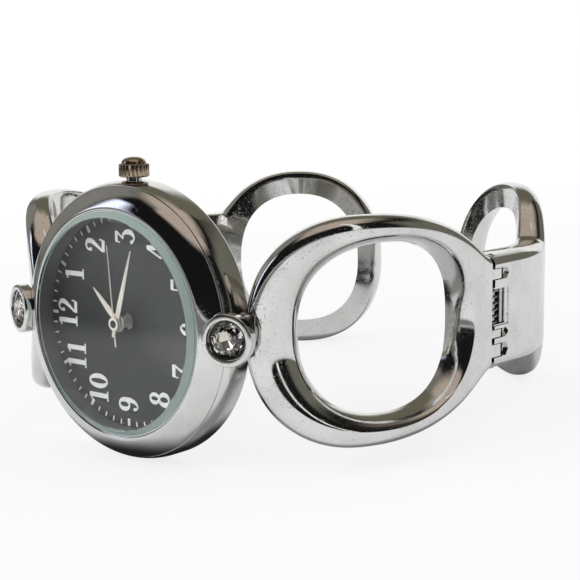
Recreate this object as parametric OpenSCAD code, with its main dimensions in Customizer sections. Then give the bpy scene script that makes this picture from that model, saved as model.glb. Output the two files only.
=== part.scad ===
// Cuff bracelet watch: a round case, two front links fixed to it and two sprung rear links.
// The bracelet stands on edge: Z is the bracelet's axis, the dial faces -Y, the wrist is on +Y.
// 12 o'clock points to -X, 3 o'clock and the crown to +Z. The origin is the middle of the case back.

/* [Bracelet] */
// Outer width of the bracelet's oval, across the links
oval_w = 58.8; // [57:0.2:61]
// Outer depth of the oval, from the front to the rear
oval_d = 60.8; // [58.6:0.2:62.6]
// Depth of the oval's front part, from the front to its widest place
oval_wide = 35.8; // [34.8:0.2:36.8]
// Squareness of the front part, where 2 is an ellipse
front_power = 2.95; // [2.8:0.05:3.05]
// Squareness of the rear part
rear_power = 1.8; // [1.7:0.05:2]
// Distance from the case back's face to the front of the oval
oval_front = 4.9; // [4.7:0.1:5.1]
// Gap between the two free ends at the rear
rear_gap = 15.4; // [13:0.2:17]
// Thickness of the links
link_t = 3.6; // [3.4:0.1:3.9]
// Height of the open rings of the links
ring_h = 24.4; // [22:0.2:26]
// Height of the plates beside the hinges
plate_h = 13.2; // [12.4:0.1:14]
// Squareness of the rings
ring_power = 2.25; // [2:0.05:2.4]
// Length of the front link, from its collar to the hinge seam
front_len = 33; // [32:0.2:34.6]
// Length of the rear link's ring
rear_ring_len = 25; // [24:0.2:26.4]
// Width of the rim above and below a hole, at the outer face
rim_w = 1.8; // [1.5:0.1:2.2]
// Width of the bar between the collar and the front hole
root_bar = 3.4; // [3.2:0.1:4]
// Width of the bar between the hole and the hinge seam
hinge_bar = 3.7; // [3.5:0.1:4.6]
// Width of the bars at both ends of a rear hole, at the outer face
rear_bar = 1.8; // [1.5:0.1:2.2]
// How much a hole narrows from the outer face to the wrist side, on each side
hole_flare = 1.3; // [1:0.1:1.6]

/* [Case] */
// Outer diameter of the case band
case_d = 30.6; // [30:0.1:31.6]
// Height of the straight band
band_h = 3.75; // [3.6:0.05:4]
// How far the case back stands out behind the band
back_step = 0.4; // [0.3:0.05:0.5]
// Width of the band's rear face outside the case back's lip
back_margin = 2.3; // [2.1:0.05:2.6]
// Thickness of the case back
back_t = 0.55; // [0.45:0.05:0.6]
// Thickness of the band's wall round the movement and dial
case_wall = 3.5; // [3.4:0.05:3.6]
// Width of the bezel, from the band's outside to the crystal
bezel_w = 3.1; // [3:0.05:3.2]
// Thickness of the crystal
crystal_t = 1; // [0.9:0.05:1.1]
// How far the crystal stands out of the bezel
crystal_step = 0.65; // [0.6:0.05:0.7]
// Width of the crystal's polished bevel
crystal_bevel = 0.6; // [0.4:0.05:0.7]
// Radial thickness of the crystal gasket
gasket_t = 0.12; // [0.08:0.01:0.16]

/* [Dial and hands] */
// Distance from the case back's face to the back of the dial
dial_z = 2.95; // [2.93:0.01:3]
// Thickness of the dial
dial_t = 0.35; // [0.3:0.05:0.4]
// Width of the dial's edge under the chapter ring
dial_rim = 0.25; // [0.2:0.05:0.4]
// Room between the dial and the crystal
hand_room = 2.2; // [2.15:0.05:2.3]
// Height of the hour hand over the dial
hour_lift = 1.2; // [1.1:0.05:1.25]
// Rise from one hand to the next
hand_rise = 0.33; // [0.3:0.01:0.34]
// Length of the hour hand
hour_len = 5.1; // [4.6:0.1:6]
// Length of the minute hand
minute_len = 8.4; // [7.8:0.1:9.6]
// Length of the second hand
second_len = 8.5; // [7.8:0.1:9.8]
// Clock angle of the hour hand
hour_angle = 44; // [0:1:359]
// Clock angle of the minute hand
minute_angle = 107; // [0:1:359]
// Clock angle of the second hand
second_angle = 85; // [0:1:359]

/* [Crown] */
// Diameter of the crown
crown_d = 3.3; // [3.1:0.05:3.5]
// Height of the fluted part of the crown
crown_h = 1.45; // [1.3:0.05:1.6]
// Height of the crown's dome
dome_h = 0.75; // [0.6:0.05:1]
// Number of flutes
crown_flutes = 24; // [16:1:30]
// Diameter of the stem
stem_d = 0.8; // [0.7:0.05:0.9]
// Outer diameter of the crown tube
tube_d = 1.7; // [1.6:0.05:1.9]
// Room under the crown when it is pushed in
crown_gap = 0.35; // [0.3:0.05:0.6]

/* [Collars] */
// Diameter of the collar's head
collar_d = 5.55; // [5.4:0.05:5.7]
// Height of the collar's head
head_h = 1.33; // [1.1:0.05:1.5]
// Height of the neck under the head
neck_h = 1.25; // [1.1:0.05:1.4]
// Diameter of the neck
neck_d = 4.5; // [4.3:0.05:4.6]
// Diameter of the stone
stone_d = 3.6; // [3.4:0.05:3.7]
// Diameter of the recess round the stone
recess_d = 4.3; // [4.1:0.05:4.5]
// Diameter of the collar's shank
shank_d = 1.6; // [1.2:0.1:1.7]
// Thickness of the link's tongue under the collar
tongue_t = 1.1; // [1:0.05:1.2]

/* [Hinges] */
// Diameter of the hinge pin
pin_d = 0.8; // [0.7:0.05:0.9]
// Depth of the pin's axis below the outer face
pin_depth = 0.95; // [0.9:0.05:1.1]
// Distance from the seam to the pin's axis
pin_back = 0.6; // [0.55:0.05:0.7]
// Radius of the hinge fingers
finger_r = 1.15; // [1:0.05:1.2]
// Diameter of the spring's wire
wire_d = 0.24; // [0.2:0.01:0.26]
// Rise of the spring in one turn
spring_pitch = 0.72; // [0.71:0.01:0.74]
// Number of turns of the spring
spring_turns = 5; // [3:1:5]

/* [Hidden] */
$fn = 64;
eps = 0.02;
clear = 0.1;
run_fit = 0.03;
slide_fit = 0.02;

// Heights above the case back's face, measured towards the dial's viewer
band_back = back_step;
band_front = back_step + band_h;
dial_front = dial_z + dial_t;
dial_view_r = case_d / 2 - case_wall - dial_rim;
hour_t = 0.15;
minute_t = 0.13;
second_t = 0.1;
minute_lift = hour_lift + hand_rise;
second_lift = minute_lift + hand_rise;
crystal_z = dial_front + hand_room;
crystal_top = crystal_z + crystal_t;
bezel_top = crystal_top - crystal_step;
case_r = case_d / 2;
cavity_r = case_r - case_wall;
crystal_r = case_r - bezel_w;
bezel_bore_r = crystal_r + gasket_t;
bezel_lip_r = bezel_bore_r + 0.75;
bezel_lip_h = 0.6;
back_lip_h = 0.45;
back_lip_r = case_r - back_margin;

// The movement: its layout is drawn for a plate of `plate_r` and scaled in plan to fit the case
holder_w = 1.3;
plate_r = 10.5;
movement_r = cavity_r - holder_w;
movement_k = movement_r / plate_r;
bridge_z = 0.88;
bridge_t = 0.24;
plate_z = 2.1;
plate_t = 0.32;
motion_z = plate_z + plate_t;
hour_wheel_z = 2.72;
stem_z = 2;
arbor_r = 0.1;
centre_arbor_r = 0.13;
minute_pipe_r = 0.34;
hour_pipe_r = 0.6;
wheel_t = 0.1;
seconds_wheel_z = 1.28;
third_wheel_z = 1.53;
fifth_wheel_z = 1.69;
fifth_pinion_z = 1.21;
centre_wheel_z = 1.89;
pinion_h = 0.5;
stator_z = 1.32;
sheet_t = 0.16;
core_z = stator_z + sheet_t;
coil_r = 0.5;
quartz_r = 0.54;
quartz_len = 4.8;
board_z = 1.81;
battery_z = 0.82;
strap_t = 0.13;
third_at = [3.4, 0];
fifth_at = 3.36 * [cos(120), sin(120)];
rotor_at = fifth_at + [-2.8, 0];
minute_at = 2.4 * [cos(-60), sin(-60)];
battery_r = 3.4;
battery_at = (plate_r - battery_r - 0.35) * [cos(225), sin(225)];
pillars = [[6.6, -2], [4.9, 5], [-2.6, 6.3]];
pillar_r = 0.55;

// The oval: a front and a rear superellipse that meet at the widest place.
// It starts at the middle of the front and runs round +X to the rear.
oval_a = oval_w / 2;
oval_y = oval_wide - oval_front;
oval_rear = oval_d - oval_wide;
oval_steps = 240;
function oval_quarter(u, depth, power) = [
    oval_a * pow(sin(u), 2 / power),
    oval_y - depth * pow(abs(cos(u)), 2 / power)];
function oval_raw(u) = u <= 90 ? oval_quarter(u, oval_wide, front_power)
    : oval_quarter(u, -oval_rear, rear_power);
oval_p = [for (i = [0:oval_steps]) oval_raw(180 * i / oval_steps)];
oval_s = [for (i = 0, s = 0; i <= oval_steps;
    s = s + (i < oval_steps ? norm(oval_p[i + 1] - oval_p[i]) : 0), i = i + 1) s];
oval_x_at = [for (i = [0:oval_steps]) [oval_s[i], oval_p[i].x]];
oval_y_at = [for (i = [0:oval_steps]) [oval_s[i], oval_p[i].y]];
oval_s_at = [for (i = [0:oval_steps / 2]) [oval_p[i].x, oval_s[i]]];
half_way = oval_s[oval_steps];
function oval(s) = [lookup(s, oval_x_at), lookup(s, oval_y_at)];
function along(s) = let (d = oval(s + 0.4) - oval(s - 0.4)) d / norm(d);
function out(s) = let (t = along(s)) [t.y, -t.x];
function on_link(s, z, depth) = let (p = oval(s), o = out(s)) [p.x - o.x * depth, p.y - o.y * depth, z];

// Places along the oval
collar_s = lookup(case_r - 0.1, oval_s_at);
seam_s = collar_s + front_len;
pin_s = seam_s + pin_back;
free_s = half_way - rear_gap / 2;
front_ring_s = collar_s + 0.6;
front_mid_s = collar_s + 14.2;
front_right = seam_s + 0.7 - front_mid_s;
front_end = seam_s + 1.2;
front_hole = [front_ring_s + root_bar, seam_s - hinge_bar];
rear_mid_s = free_s - rear_ring_len / 2;
rear_join = free_s - rear_ring_len;
rear_hole = [free_s - rear_ring_len + rear_bar, free_s - rear_bar];

// Collar and hinge frames
collar_p = oval(collar_s);
collar_turn = atan2(out(collar_s).x, -out(collar_s).y);
pin_p = on_link(pin_s, 0, pin_depth);
pin_turn = atan2(along(pin_s).y, along(pin_s).x);
tongue_r = neck_d / 2 + 0.1;
lug_w = 2 * tongue_r - 0.1;
lug_out = 1.35;
lug_h = 2;
shank_len = tongue_t + 1.1;

// Crown and keyless works along Z
tube_in = back_lip_r + 0.1;
crown_z = case_r + crown_gap;
crown_r = crown_d / 2;
clutch_at = 6.6;
clutch_z = movement_k * clutch_at;
clutch_len = 1.4;
clutch_r = 0.6;
groove_z = clutch_z + 0.6;
groove_w = 0.24;

// Hinge layout along Z: fingers of the front link, and the window for the spring
fingers = [[3.8, 4.9], [-2.8, -1.95], [-5, -3.6]];
window = [-1.35, 2.65];
window_floor = 0.95;
window_end = 1.6;
leaf_u = 0.9;
leaf_w = 0.55;
slot_end = 1.5;
seam_reach = norm([pin_back, pin_depth]) + 0.03;
spring_r = pin_d / 2 + 0.09 + wire_d / 2;
spring_sides = 6;
spring_steps = 8;

module in_head() {
    rotate([90, 0, 0])
        children();
}

module in_movement() {
    in_head()
        scale([movement_k, movement_k, 1])
            children();
}

module at_collar() {
    translate([collar_p.x, collar_p.y, 0])
        rotate([90, 0, collar_turn])
            children();
}

module at_hinge() {
    translate([pin_p.x, pin_p.y, 0])
        rotate([0, 0, pin_turn])
            children();
}

module on_left() {
    mirror([1, 0, 0])
        children();
}

module tube(r, bore, h) {
    difference() {
        cylinder(r = r, h = h);
        translate([0, 0, -1])
            cylinder(r = bore, h = h + 2);
    }
}

// Gears: short straight-sided teeth with backlash
function gear_points(teeth, mod) =
    let (tip = teeth * mod / 2 + 0.9 * mod, root = teeth * mod / 2 - 1.15 * mod, pitch = 360 / teeth)
    [for (i = [0:teeth - 1]) for (k = [[-0.3, root], [-0.12, tip], [0.12, tip], [0.3, root]])
        k[1] * [cos((i + k[0]) * pitch), sin((i + k[0]) * pitch)]];

module gear(teeth, mod, h, turn) {
    rotate([0, 0, turn])
        linear_extrude(h)
            polygon(gear_points(teeth, mod));
}

// Links: a closed strip of sections round the hole
function inside(p, hole, hh) = pow(
    pow(abs((p.x - (hole[0] + hole[1]) / 2) / ((hole[1] - hole[0]) / 2)), ring_power)
    + pow(abs(p.y / hh), ring_power), 1 / ring_power);
function hole_point(p, hole, hh) =
    let (c = [(hole[0] + hole[1]) / 2, 0]) c + (p - c) / inside(p, hole, hh);
function blend_max(a, b) = pow(pow(a, 6) + pow(b, 6), 1 / 6);
function ring_z(s, mid, half) = ring_h / 2
    * pow(max(0, 1 - pow(abs((s - mid) / half), ring_power)), 1 / ring_power);

// Outer side of a link: distance in from the outline, and depth as a share of the thickness
side_profile = [[0.75, 0], [0.3, 0.04], [0.07, 0.15], [0, 0.4], [0.04, 0.75], [0.35, 1]];
// Wall of a hole: share of the flare, and depth as a share of the thickness
wall_profile = [[0, 1], [0.12, 0.6], [0.45, 0.25], [0.8, 0.06]];
end_rows = 6;
blend_rows = 10;
rim_spans = 3;
plate_key = 0.1;

// Outline of a ring: from its tip over the top to its flat end at `s_end`, and back below
function outline(tip, mid, half, s_end) =
    let (upper = concat(
            [for (a = [0:12:84]) [
                mid + (tip - mid) * pow(cos(a), 2 / ring_power),
                ring_h / 2 * pow(sin(a), 2 / ring_power)]],
            [for (i = [0:blend_rows]) let (s = mid + (s_end - mid) * i / blend_rows)
                [s, blend_max(ring_z(s, mid, half), plate_h / 2)]]))
    concat(upper,
        [for (k = [1:end_rows - 1]) [s_end, plate_h * (0.5 - k / end_rows)]],
        [for (i = [len(upper) - 1:-1:1]) [upper[i].x, -upper[i].y]]);

// Direction out of the ring at one point of its outline; the flat end has none
function side_out(loop, i, s_end, flip) =
    let (n = len(loop), d = loop[(i + 1) % n] - loop[(i + n - 1) % n])
    abs(loop[i].x - s_end) > eps ? flip * [-d.y, d.x] / norm(d)
        : abs(loop[i].y) > plate_h / 2 - eps ? [0, sign(loop[i].y)]
        : [0, 0];

// One section, from the hole's wrist-side edge over the outer face and back along the inner face
function section(p, dir, hole, narrow) =
    let (hh = ring_h / 2 - rim_w,
        front = hole_point(p, hole, hh),
        back = hole_point(p, hole + narrow * hole_flare, hh - hole_flare),
        edge = p - side_profile[0][0] * dir,
        foot = p - side_profile[len(side_profile) - 1][0] * dir)
    concat(
        [for (w = wall_profile) concat(back + (front - back) * w[0], link_t * w[1])],
        [for (i = [0:rim_spans - 1]) concat(front + (edge - front) * i / rim_spans, 0)],
        [for (q = side_profile) concat(p - q[0] * dir, q[1] * link_t)],
        [for (i = [1:rim_spans - 1]) concat(foot + (back - foot) * i / rim_spans, link_t)]);

module link_ring(loop, hole, narrow, s_end, flip) {
    rows = [for (i = [0:len(loop) - 1])
        [for (q = section(loop[i], side_out(loop, i, s_end, flip), hole, narrow)) on_link(q.x, q.y, q.z)]];
    n = len(rows);
    m = len(rows[0]);
    faces = [for (i = [0:n - 1]) for (j = [0:m - 1])
        let (a = i * m + j, b = ((i + 1) % n) * m + j, c = ((i + 1) % n) * m + (j + 1) % m,
            d = i * m + (j + 1) % m)
        each flip > 0 ? [[a, c, b], [a, d, c]] : [[a, b, c], [a, c, d]]];
    polyhedron([for (row = rows) each row], faces, convexity = 8);
}

// Plate swept along the oval; its last section is a little smaller and keys into the ring
module link_plate(s_from, s_to, steps) {
    half = [for (q = side_profile) [plate_h / 2 - q[0], q[1] * link_t]];
    m = 2 * len(half);
    turned = [for (i = [len(half) - 1:-1:0]) [-half[i].x, half[i].y]];
    cuts = concat([for (i = [0:steps]) [s_from + (s_to - s_from) * i / steps, 0]],
        [[s_to + plate_key, plate_key / 2]]);
    polyhedron(
        [for (c = cuts) for (q = concat(half, turned))
            on_link(c[0], q[0] - sign(q[0]) * c[1], min(max(q[1], c[1]), link_t - c[1]))],
        concat([[for (k = [m - 1:-1:0]) k]], [[for (k = [0:m - 1]) (steps + 1) * m + k]],
            [for (i = [0:steps]) for (k = [0:m - 1])
                let (a = i * m + k, b = i * m + (k + 1) % m)
                each [[a, b + m, a + m], [a, b, b + m]]]),
        convexity = 4);
}

// Case and its fittings
module case_band() {
    in_head()
        rotate_extrude()
            polygon([[cavity_r - 1, band_back], [case_r - 0.3, band_back], [case_r, band_back + 0.3],
                [case_r, band_front], [cavity_r - 1, band_front]]);
}

module case_lug() {
    intersection() {
        at_collar()
            translate([-3, -lug_w / 2, -tongue_t - lug_h])
                cube([3 + lug_out, lug_w, lug_h]);
        in_head()
            translate([0, 0, band_back + 0.2])
                cylinder(r = case_r + 2, h = band_h);
    }
}

module tongue_outline(r) {
    circle(r = r);
    translate([0, -r])
        square([2.2, 2 * r]);
}

module collar_pocket() {
    at_collar() {
        translate([0, 0, -tongue_t])
            linear_extrude(tongue_t + neck_h - 0.3)
                tongue_outline(tongue_r + clear);
        translate([0, 0, neck_h - 0.35])
            cylinder(r = collar_d / 2 + clear, h = 6);
        translate([0, 0, -shank_len - 0.1])
            cylinder(d = shank_d + 2 * slide_fit, h = shank_len);
    }
}

module case() {
    color("silver")
        difference() {
            union() {
                case_band();
                case_lug();
                on_left()
                    case_lug();
            }
            in_head() {
                translate([0, 0, -1])
                    cylinder(r = cavity_r, h = band_front + 2);
                translate([0, 0, -1])
                    cylinder(r = back_lip_r + slide_fit, h = 1 + back_t + back_lip_h + 0.3);
                translate([0, 0, band_front - bezel_lip_h])
                    cylinder(r = bezel_lip_r, h = 2);
            }
            collar_pocket();
            on_left()
                collar_pocket();
            translate([0, -stem_z, cavity_r - 1])
                cylinder(d = tube_d + 2 * slide_fit, h = case_wall + 2);
        }
}

module bezel() {
    lip_r = bezel_lip_r - slide_fit;
    dome_r = bezel_bore_r + 0.4;
    dome_w = case_r - 0.05 - dome_r;
    color("gainsboro")
        difference() {
            in_head()
                rotate_extrude()
                    polygon(concat(
                        [[cavity_r, band_front - bezel_lip_h], [lip_r, band_front - bezel_lip_h],
                            [lip_r, band_front], [case_r - 0.05, band_front]],
                        [for (a = [0:10:90]) [dome_r + dome_w * cos(a),
                            band_front + 0.15 + (bezel_top - band_front - 0.15) * sin(a)]],
                        [[bezel_bore_r + 0.1, bezel_top], [bezel_bore_r, bezel_top - 0.1],
                            [bezel_bore_r, crystal_z], [cavity_r, crystal_z]]));
            collar_pocket();
            on_left()
                collar_pocket();
        }
}

module crystal() {
    color("lightcyan", 0.4)
        in_head()
            translate([0, 0, crystal_z])
                rotate_extrude()
                    polygon([[0, 0], [crystal_r, 0], [crystal_r, crystal_t - crystal_bevel],
                        [crystal_r - crystal_bevel, crystal_t], [0, crystal_t]]);
}

module crystal_gasket() {
    color("white")
        in_head()
            translate([0, 0, crystal_z])
                tube(bezel_bore_r, crystal_r, bezel_top - 0.15 - crystal_z);
}

module chapter_ring() {
    color("dimgray")
        in_head()
            translate([0, 0, dial_front])
                rotate_extrude()
                    polygon([[dial_view_r, 0], [cavity_r - slide_fit, 0],
                        [cavity_r - slide_fit, hand_room], [dial_view_r + 0.1, hand_room]]);
}

module dial() {
    color("darkslategray")
        in_head()
            translate([0, 0, dial_z])
                tube(cavity_r - 0.05, 0.9, dial_t);
}

module case_back() {
    color("silver")
        in_head()
            rotate_extrude()
                polygon([[0, 0], [back_lip_r - 0.6, 0], [back_lip_r + 0.8, band_back - 0.05],
                    [back_lip_r + 0.8, band_back], [back_lip_r, band_back],
                    [back_lip_r, back_t + back_lip_h], [back_lip_r - 0.6, back_t + back_lip_h],
                    [back_lip_r - 0.6, back_t], [0, back_t]]);
}

module case_back_gasket() {
    color("black")
        in_head()
            translate([0, 0, back_t + back_lip_h])
                tube(back_lip_r - 0.05, back_lip_r - 0.75, 0.28);
}

module crown_tube() {
    color("silver")
        translate([0, -stem_z, tube_in])
            tube(tube_d / 2, stem_d / 2 + run_fit, crown_z + 0.6 - tube_in);
}

// Movement
module movement_holder() {
    color("white")
        difference() {
            in_head()
                translate([0, 0, back_t + 0.25])
                    tube(cavity_r - 0.05, movement_r + 0.05, dial_z - back_t - 0.27);
            translate([0, -stem_z, 0])
                cylinder(r = 0.7, h = cavity_r + 1);
        }
}

module main_plate() {
    color("khaki")
        in_movement()
            difference() {
                union() {
                    translate([0, 0, plate_z])
                        cylinder(r = plate_r, h = plate_t);
                    translate([minute_at.x, minute_at.y, plate_z])
                        cylinder(r = 0.2, h = dial_z - plate_z - 0.07);
                    for (p = pillars)
                        translate([p.x, p.y, bridge_z + bridge_t])
                            cylinder(r = pillar_r, h = plate_z - bridge_z - bridge_t + eps);
                }
                translate([0, 0, plate_z - 1])
                    cylinder(r = minute_pipe_r + run_fit, h = 3);
                for (p = [third_at, fifth_at, rotor_at])
                    translate([p.x, p.y, plate_z - 1])
                        cylinder(r = arbor_r + run_fit, h = 3);
                for (p = pillars)
                    translate([p.x, p.y, 0])
                        cylinder(r = 0.22, h = plate_z);
                translate([-clutch_r - 0.15, clutch_at - 0.4, plate_z - 0.1])
                    cube([2 * clutch_r + 0.3, plate_r, plate_t + 0.2]);
            }
}

module train_bridge() {
    color("gold")
        in_movement()
            translate([0, 0, bridge_z])
                difference() {
                    linear_extrude(bridge_t)
                        polygon([[-5.8, 4.4], [-5.8, 1.4], [-1.4, -1], [2.4, -3.3], [7.6, -3.1],
                            [7.9, 1.4], [5.9, 6.1], [3.6, 6.1], [1.5, 3.6], [-1.5, 7.4], [-3.7, 7.4]]);
                    for (p = [third_at, fifth_at, rotor_at])
                        translate([p.x, p.y, -1])
                            cylinder(r = arbor_r + run_fit, h = 3);
                    translate([0, 0, -1])
                        cylinder(r = centre_arbor_r + run_fit, h = 3);
                    for (p = pillars)
                        translate([p.x, p.y, -1])
                            cylinder(r = 0.22, h = 3);
                }
}

module bridge_screws() {
    color("lightgray")
        in_movement()
            for (p = pillars)
                translate([p.x, p.y, 0]) {
                    translate([0, 0, bridge_z - 0.15])
                        cylinder(r = 0.4, h = 0.15);
                    translate([0, 0, bridge_z - 0.05])
                        cylinder(r = 0.2, h = 1.05);
                }
}

module stator() {
    color("lightslategray")
        in_movement()
            translate([0, 0, stator_z])
                difference() {
                    linear_extrude(sheet_t)
                        polygon([[-7.6, -0.8], [-5.6, -0.4], [-3.3, 1.7], [-3.3, 4.1], [-5.6, 6.2],
                            [-7.6, 6.6], [-7.6, 5.6], [-6.1, 4.6], [-6.1, 1.2], [-7.6, 0.2]]);
                    translate([rotor_at.x, rotor_at.y, -1])
                        cylinder(r = 0.95, h = 3);
                }
}

module coil_core() {
    color("lightsteelblue")
        in_movement()
            translate([-7.6, -0.8, core_z])
                cube([0.8, 7.4, sheet_t]);
}

module coil_winding() {
    color("peru")
        in_movement()
            difference() {
                translate([-7.2, 1, core_z + sheet_t / 2])
                    rotate([-90, 0, 0])
                        cylinder(r = coil_r, h = 3.75);
                translate([-7.6 - eps, -1, core_z - eps])
                    cube([0.8 + 2 * eps, 8, sheet_t + 2 * eps]);
            }
}

module circuit_board() {
    color("darkgreen")
        in_movement()
            translate([0, 0, board_z])
                linear_extrude(plate_z - board_z - 0.05)
                    intersection() {
                        circle(r = plate_r - 0.3);
                        translate([0.5, -9.5])
                            square([8.5, 5]);
                    }
}

module quartz_can() {
    color("silver")
        in_movement()
            translate([2, -6.6, board_z - quartz_r - eps])
                rotate([0, 90, 0])
                    cylinder(r = quartz_r, h = quartz_len);
}

module battery() {
    color("gray")
        in_movement()
            translate([battery_at.x, battery_at.y, battery_z])
                cylinder(r = battery_r, h = plate_z - battery_z - 0.02);
}

module battery_strap() {
    color("goldenrod")
        in_movement()
            translate([0, 0, battery_z - strap_t - 0.02])
                linear_extrude(strap_t)
                    polygon([[-9.3, -4.2], [-4.2, -9.3], [-3.6, -8.7], [-5.2, -4.9], [-0.6, -1.6],
                        [-1.4, -0.9], [-5.6, -4.4], [-8.7, -3.6]]);
}

// Going train and motion work
module arbor(at, z, r, h) {
    translate([at.x, at.y, z])
        cylinder(r = r, h = h);
}

module hour_wheel() {
    color("gold")
        in_movement()
            difference() {
                union() {
                    translate([0, 0, hour_wheel_z])
                        gear(40, 0.096, wheel_t, -60);
                    translate([0, 0, hour_wheel_z])
                        cylinder(r = hour_pipe_r, h = dial_front + hour_lift + hour_t - hour_wheel_z);
                }
                translate([0, 0, plate_z])
                    cylinder(r = minute_pipe_r + run_fit, h = 6);
            }
}

module hand_at(angle, z) {
    in_head()
        translate([0, 0, z])
            rotate([0, 0, 180 - angle])
                children();
}

module hour_hand() {
    color("ivory")
        hand_at(hour_angle, dial_front + hour_lift)
            difference() {
                linear_extrude(hour_t) {
                    circle(r = 0.95);
                    polygon([[0.6, -0.28], [1.9, -0.36], [hour_len, -0.06], [hour_len, 0.06],
                        [1.9, 0.36], [0.6, 0.28]]);
                }
                translate([0, 0, -1])
                    cylinder(r = movement_k * hour_pipe_r, h = 3);
            }
}

module centre_wheel() {
    color("gold")
        in_movement()
            difference() {
                union() {
                    translate([0, 0, centre_wheel_z])
                        gear(64, 6.8 / 72, wheel_t, 0);
                    translate([0, 0, centre_wheel_z])
                        cylinder(r = minute_pipe_r, h = dial_front + minute_lift + minute_t - centre_wheel_z);
                    translate([0, 0, motion_z + 0.06])
                        gear(12, 0.1, 0.2, -60);
                }
                translate([0, 0, 1])
                    cylinder(r = centre_arbor_r + run_fit, h = 6);
            }
}

module minute_hand() {
    color("ivory")
        hand_at(minute_angle, dial_front + minute_lift)
            difference() {
                linear_extrude(minute_t) {
                    circle(r = 0.76);
                    polygon([[-1.6, -0.2], [0, -0.34], [2.4, -0.34], [minute_len, -0.07],
                        [minute_len, 0.07], [2.4, 0.34], [0, 0.34], [-1.6, 0.2]]);
                }
                translate([0, 0, -1])
                    cylinder(r = movement_k * minute_pipe_r, h = 3);
            }
}

module seconds_wheel() {
    color("gold")
        in_movement() {
            arbor([0, 0], bridge_z + 0.02, centre_arbor_r,
                dial_front + second_lift + second_t - bridge_z - 0.02);
            translate([0, 0, seconds_wheel_z])
                gear(40, 0.14, wheel_t, 120);
            translate([0, 0, seconds_wheel_z])
                gear(8, 0.1, pinion_h, 0);
        }
}

module second_hand() {
    color("ivory")
        hand_at(second_angle, dial_front + second_lift)
            difference() {
                linear_extrude(second_t) {
                    circle(r = 0.72);
                    polygon([[-2.5, -0.12], [second_len, -0.06], [second_len, 0.06], [-2.5, 0.12]]);
                }
                translate([0, 0, -1])
                    cylinder(r = movement_k * centre_arbor_r, h = 3);
            }
}

module third_wheel() {
    color("gold")
        in_movement() {
            arbor(third_at, bridge_z + 0.02, arbor_r, plate_z + plate_t - bridge_z - 0.04);
            translate([third_at.x, third_at.y, third_wheel_z])
                gear(60, 0.1, wheel_t, 180 + 3);
            translate([third_at.x, third_at.y, third_wheel_z])
                gear(8, 6.8 / 72, pinion_h, 180 + 22.5);
        }
}

module fifth_wheel() {
    color("gold")
        in_movement() {
            arbor(fifth_at, bridge_z + 0.02, arbor_r, plate_z + plate_t - bridge_z - 0.04);
            translate([fifth_at.x, fifth_at.y, fifth_wheel_z])
                gear(48, 0.1, wheel_t, 180);
            translate([fifth_at.x, fifth_at.y, fifth_pinion_z])
                gear(8, 0.14, pinion_h, 300 + 22.5);
        }
}

module rotor() {
    color("dimgray")
        in_movement() {
            arbor(rotor_at, bridge_z + 0.02, arbor_r, plate_z + plate_t - bridge_z - 0.04);
            arbor(rotor_at, stator_z - 0.12, 0.75, 0.4);
            translate([rotor_at.x, rotor_at.y, stator_z + 0.24])
                gear(8, 0.1, 0.3, 22.5);
        }
}

module minute_wheel() {
    color("gold")
        in_movement()
            translate([minute_at.x, minute_at.y, 0])
                difference() {
                    union() {
                        translate([0, 0, motion_z + 0.11])
                            gear(36, 0.1, wheel_t, 120 + 5);
                        translate([0, 0, motion_z + 0.11])
                            gear(10, 0.096, 0.33, 120 + 18);
                    }
                    translate([0, 0, plate_z])
                        cylinder(r = 0.2 + run_fit, h = 2);
                }
}

// Keyless works and crown, which move along Z
module stem() {
    color("silver")
        translate([0, -stem_z, clutch_z - 0.3])
            cylinder(d = stem_d, h = crown_z + crown_h - 0.1 - clutch_z + 0.3);
}

module clutch() {
    color("darkgray")
        translate([0, -stem_z, clutch_z])
            difference() {
                cylinder(r = clutch_r, h = clutch_len);
                translate([0, 0, -1])
                    cylinder(d = stem_d, h = clutch_len + 2);
                translate([0, 0, groove_z - clutch_z])
                    tube(clutch_r + 1, clutch_r - 0.12, groove_w);
            }
}

module clutch_yoke() {
    color("darkgray")
        translate([0, -stem_z, 0]) {
            difference() {
                translate([0.3, -0.05, groove_z + 0.03])
                    cube([1.9, 0.6, groove_w - 0.06]);
                cylinder(r = clutch_r - 0.12 + run_fit, h = groove_z + 1);
            }
            translate([2, -0.05, clutch_z - 0.8])
                cube([0.6, 0.6, 2.6]);
        }
}

module crown() {
    bore_h = 0.8;
    color("silver")
        translate([0, -stem_z, crown_z])
            difference() {
                union() {
                    linear_extrude(crown_h)
                        polygon([for (i = [0:crown_flutes - 1]) for (k = [0:2])
                            let (a = 360 * (i + [0, 0.5, 0.72][k]) / crown_flutes,
                                r = crown_r - [0, 0, 0.16][k])
                            r * [cos(a), sin(a)]]);
                    translate([0, 0, crown_h])
                        rotate_extrude()
                            polygon(concat([[0, 0]],
                                [for (a = [0:10:90]) [(crown_r - 0.12) * pow(cos(a), 0.8),
                                    dome_h * pow(sin(a), 1.1)]]));
                }
                translate([0, 0, -1])
                    cylinder(r = tube_d / 2 + 0.27, h = 1 + bore_h);
                cylinder(d = stem_d, h = crown_h - 0.1);
            }
}

module crown_gasket() {
    color("black")
        translate([0, -stem_z, crown_z + 0.2])
            tube(tube_d / 2 + 0.27, tube_d / 2 + run_fit, 0.28);
}

// Collars and stones
module collar() {
    top = neck_h + head_h;
    floor_h = neck_h - 0.05;
    head_r = collar_d / 2;
    color("silver")
        at_collar()
            difference() {
                rotate_extrude()
                    polygon([[0, -shank_len], [shank_d / 2, -shank_len], [shank_d / 2, 0],
                        [neck_d / 2, 0], [neck_d / 2, neck_h], [head_r - 0.1, neck_h],
                        [head_r, neck_h + 0.1], [head_r, top - 0.25], [head_r - 0.08, top - 0.08],
                        [head_r - 0.25, top], [0, top]]);
                translate([0, 0, floor_h])
                    cylinder(d = recess_d, h = head_h + 1);
            }
}

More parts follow.
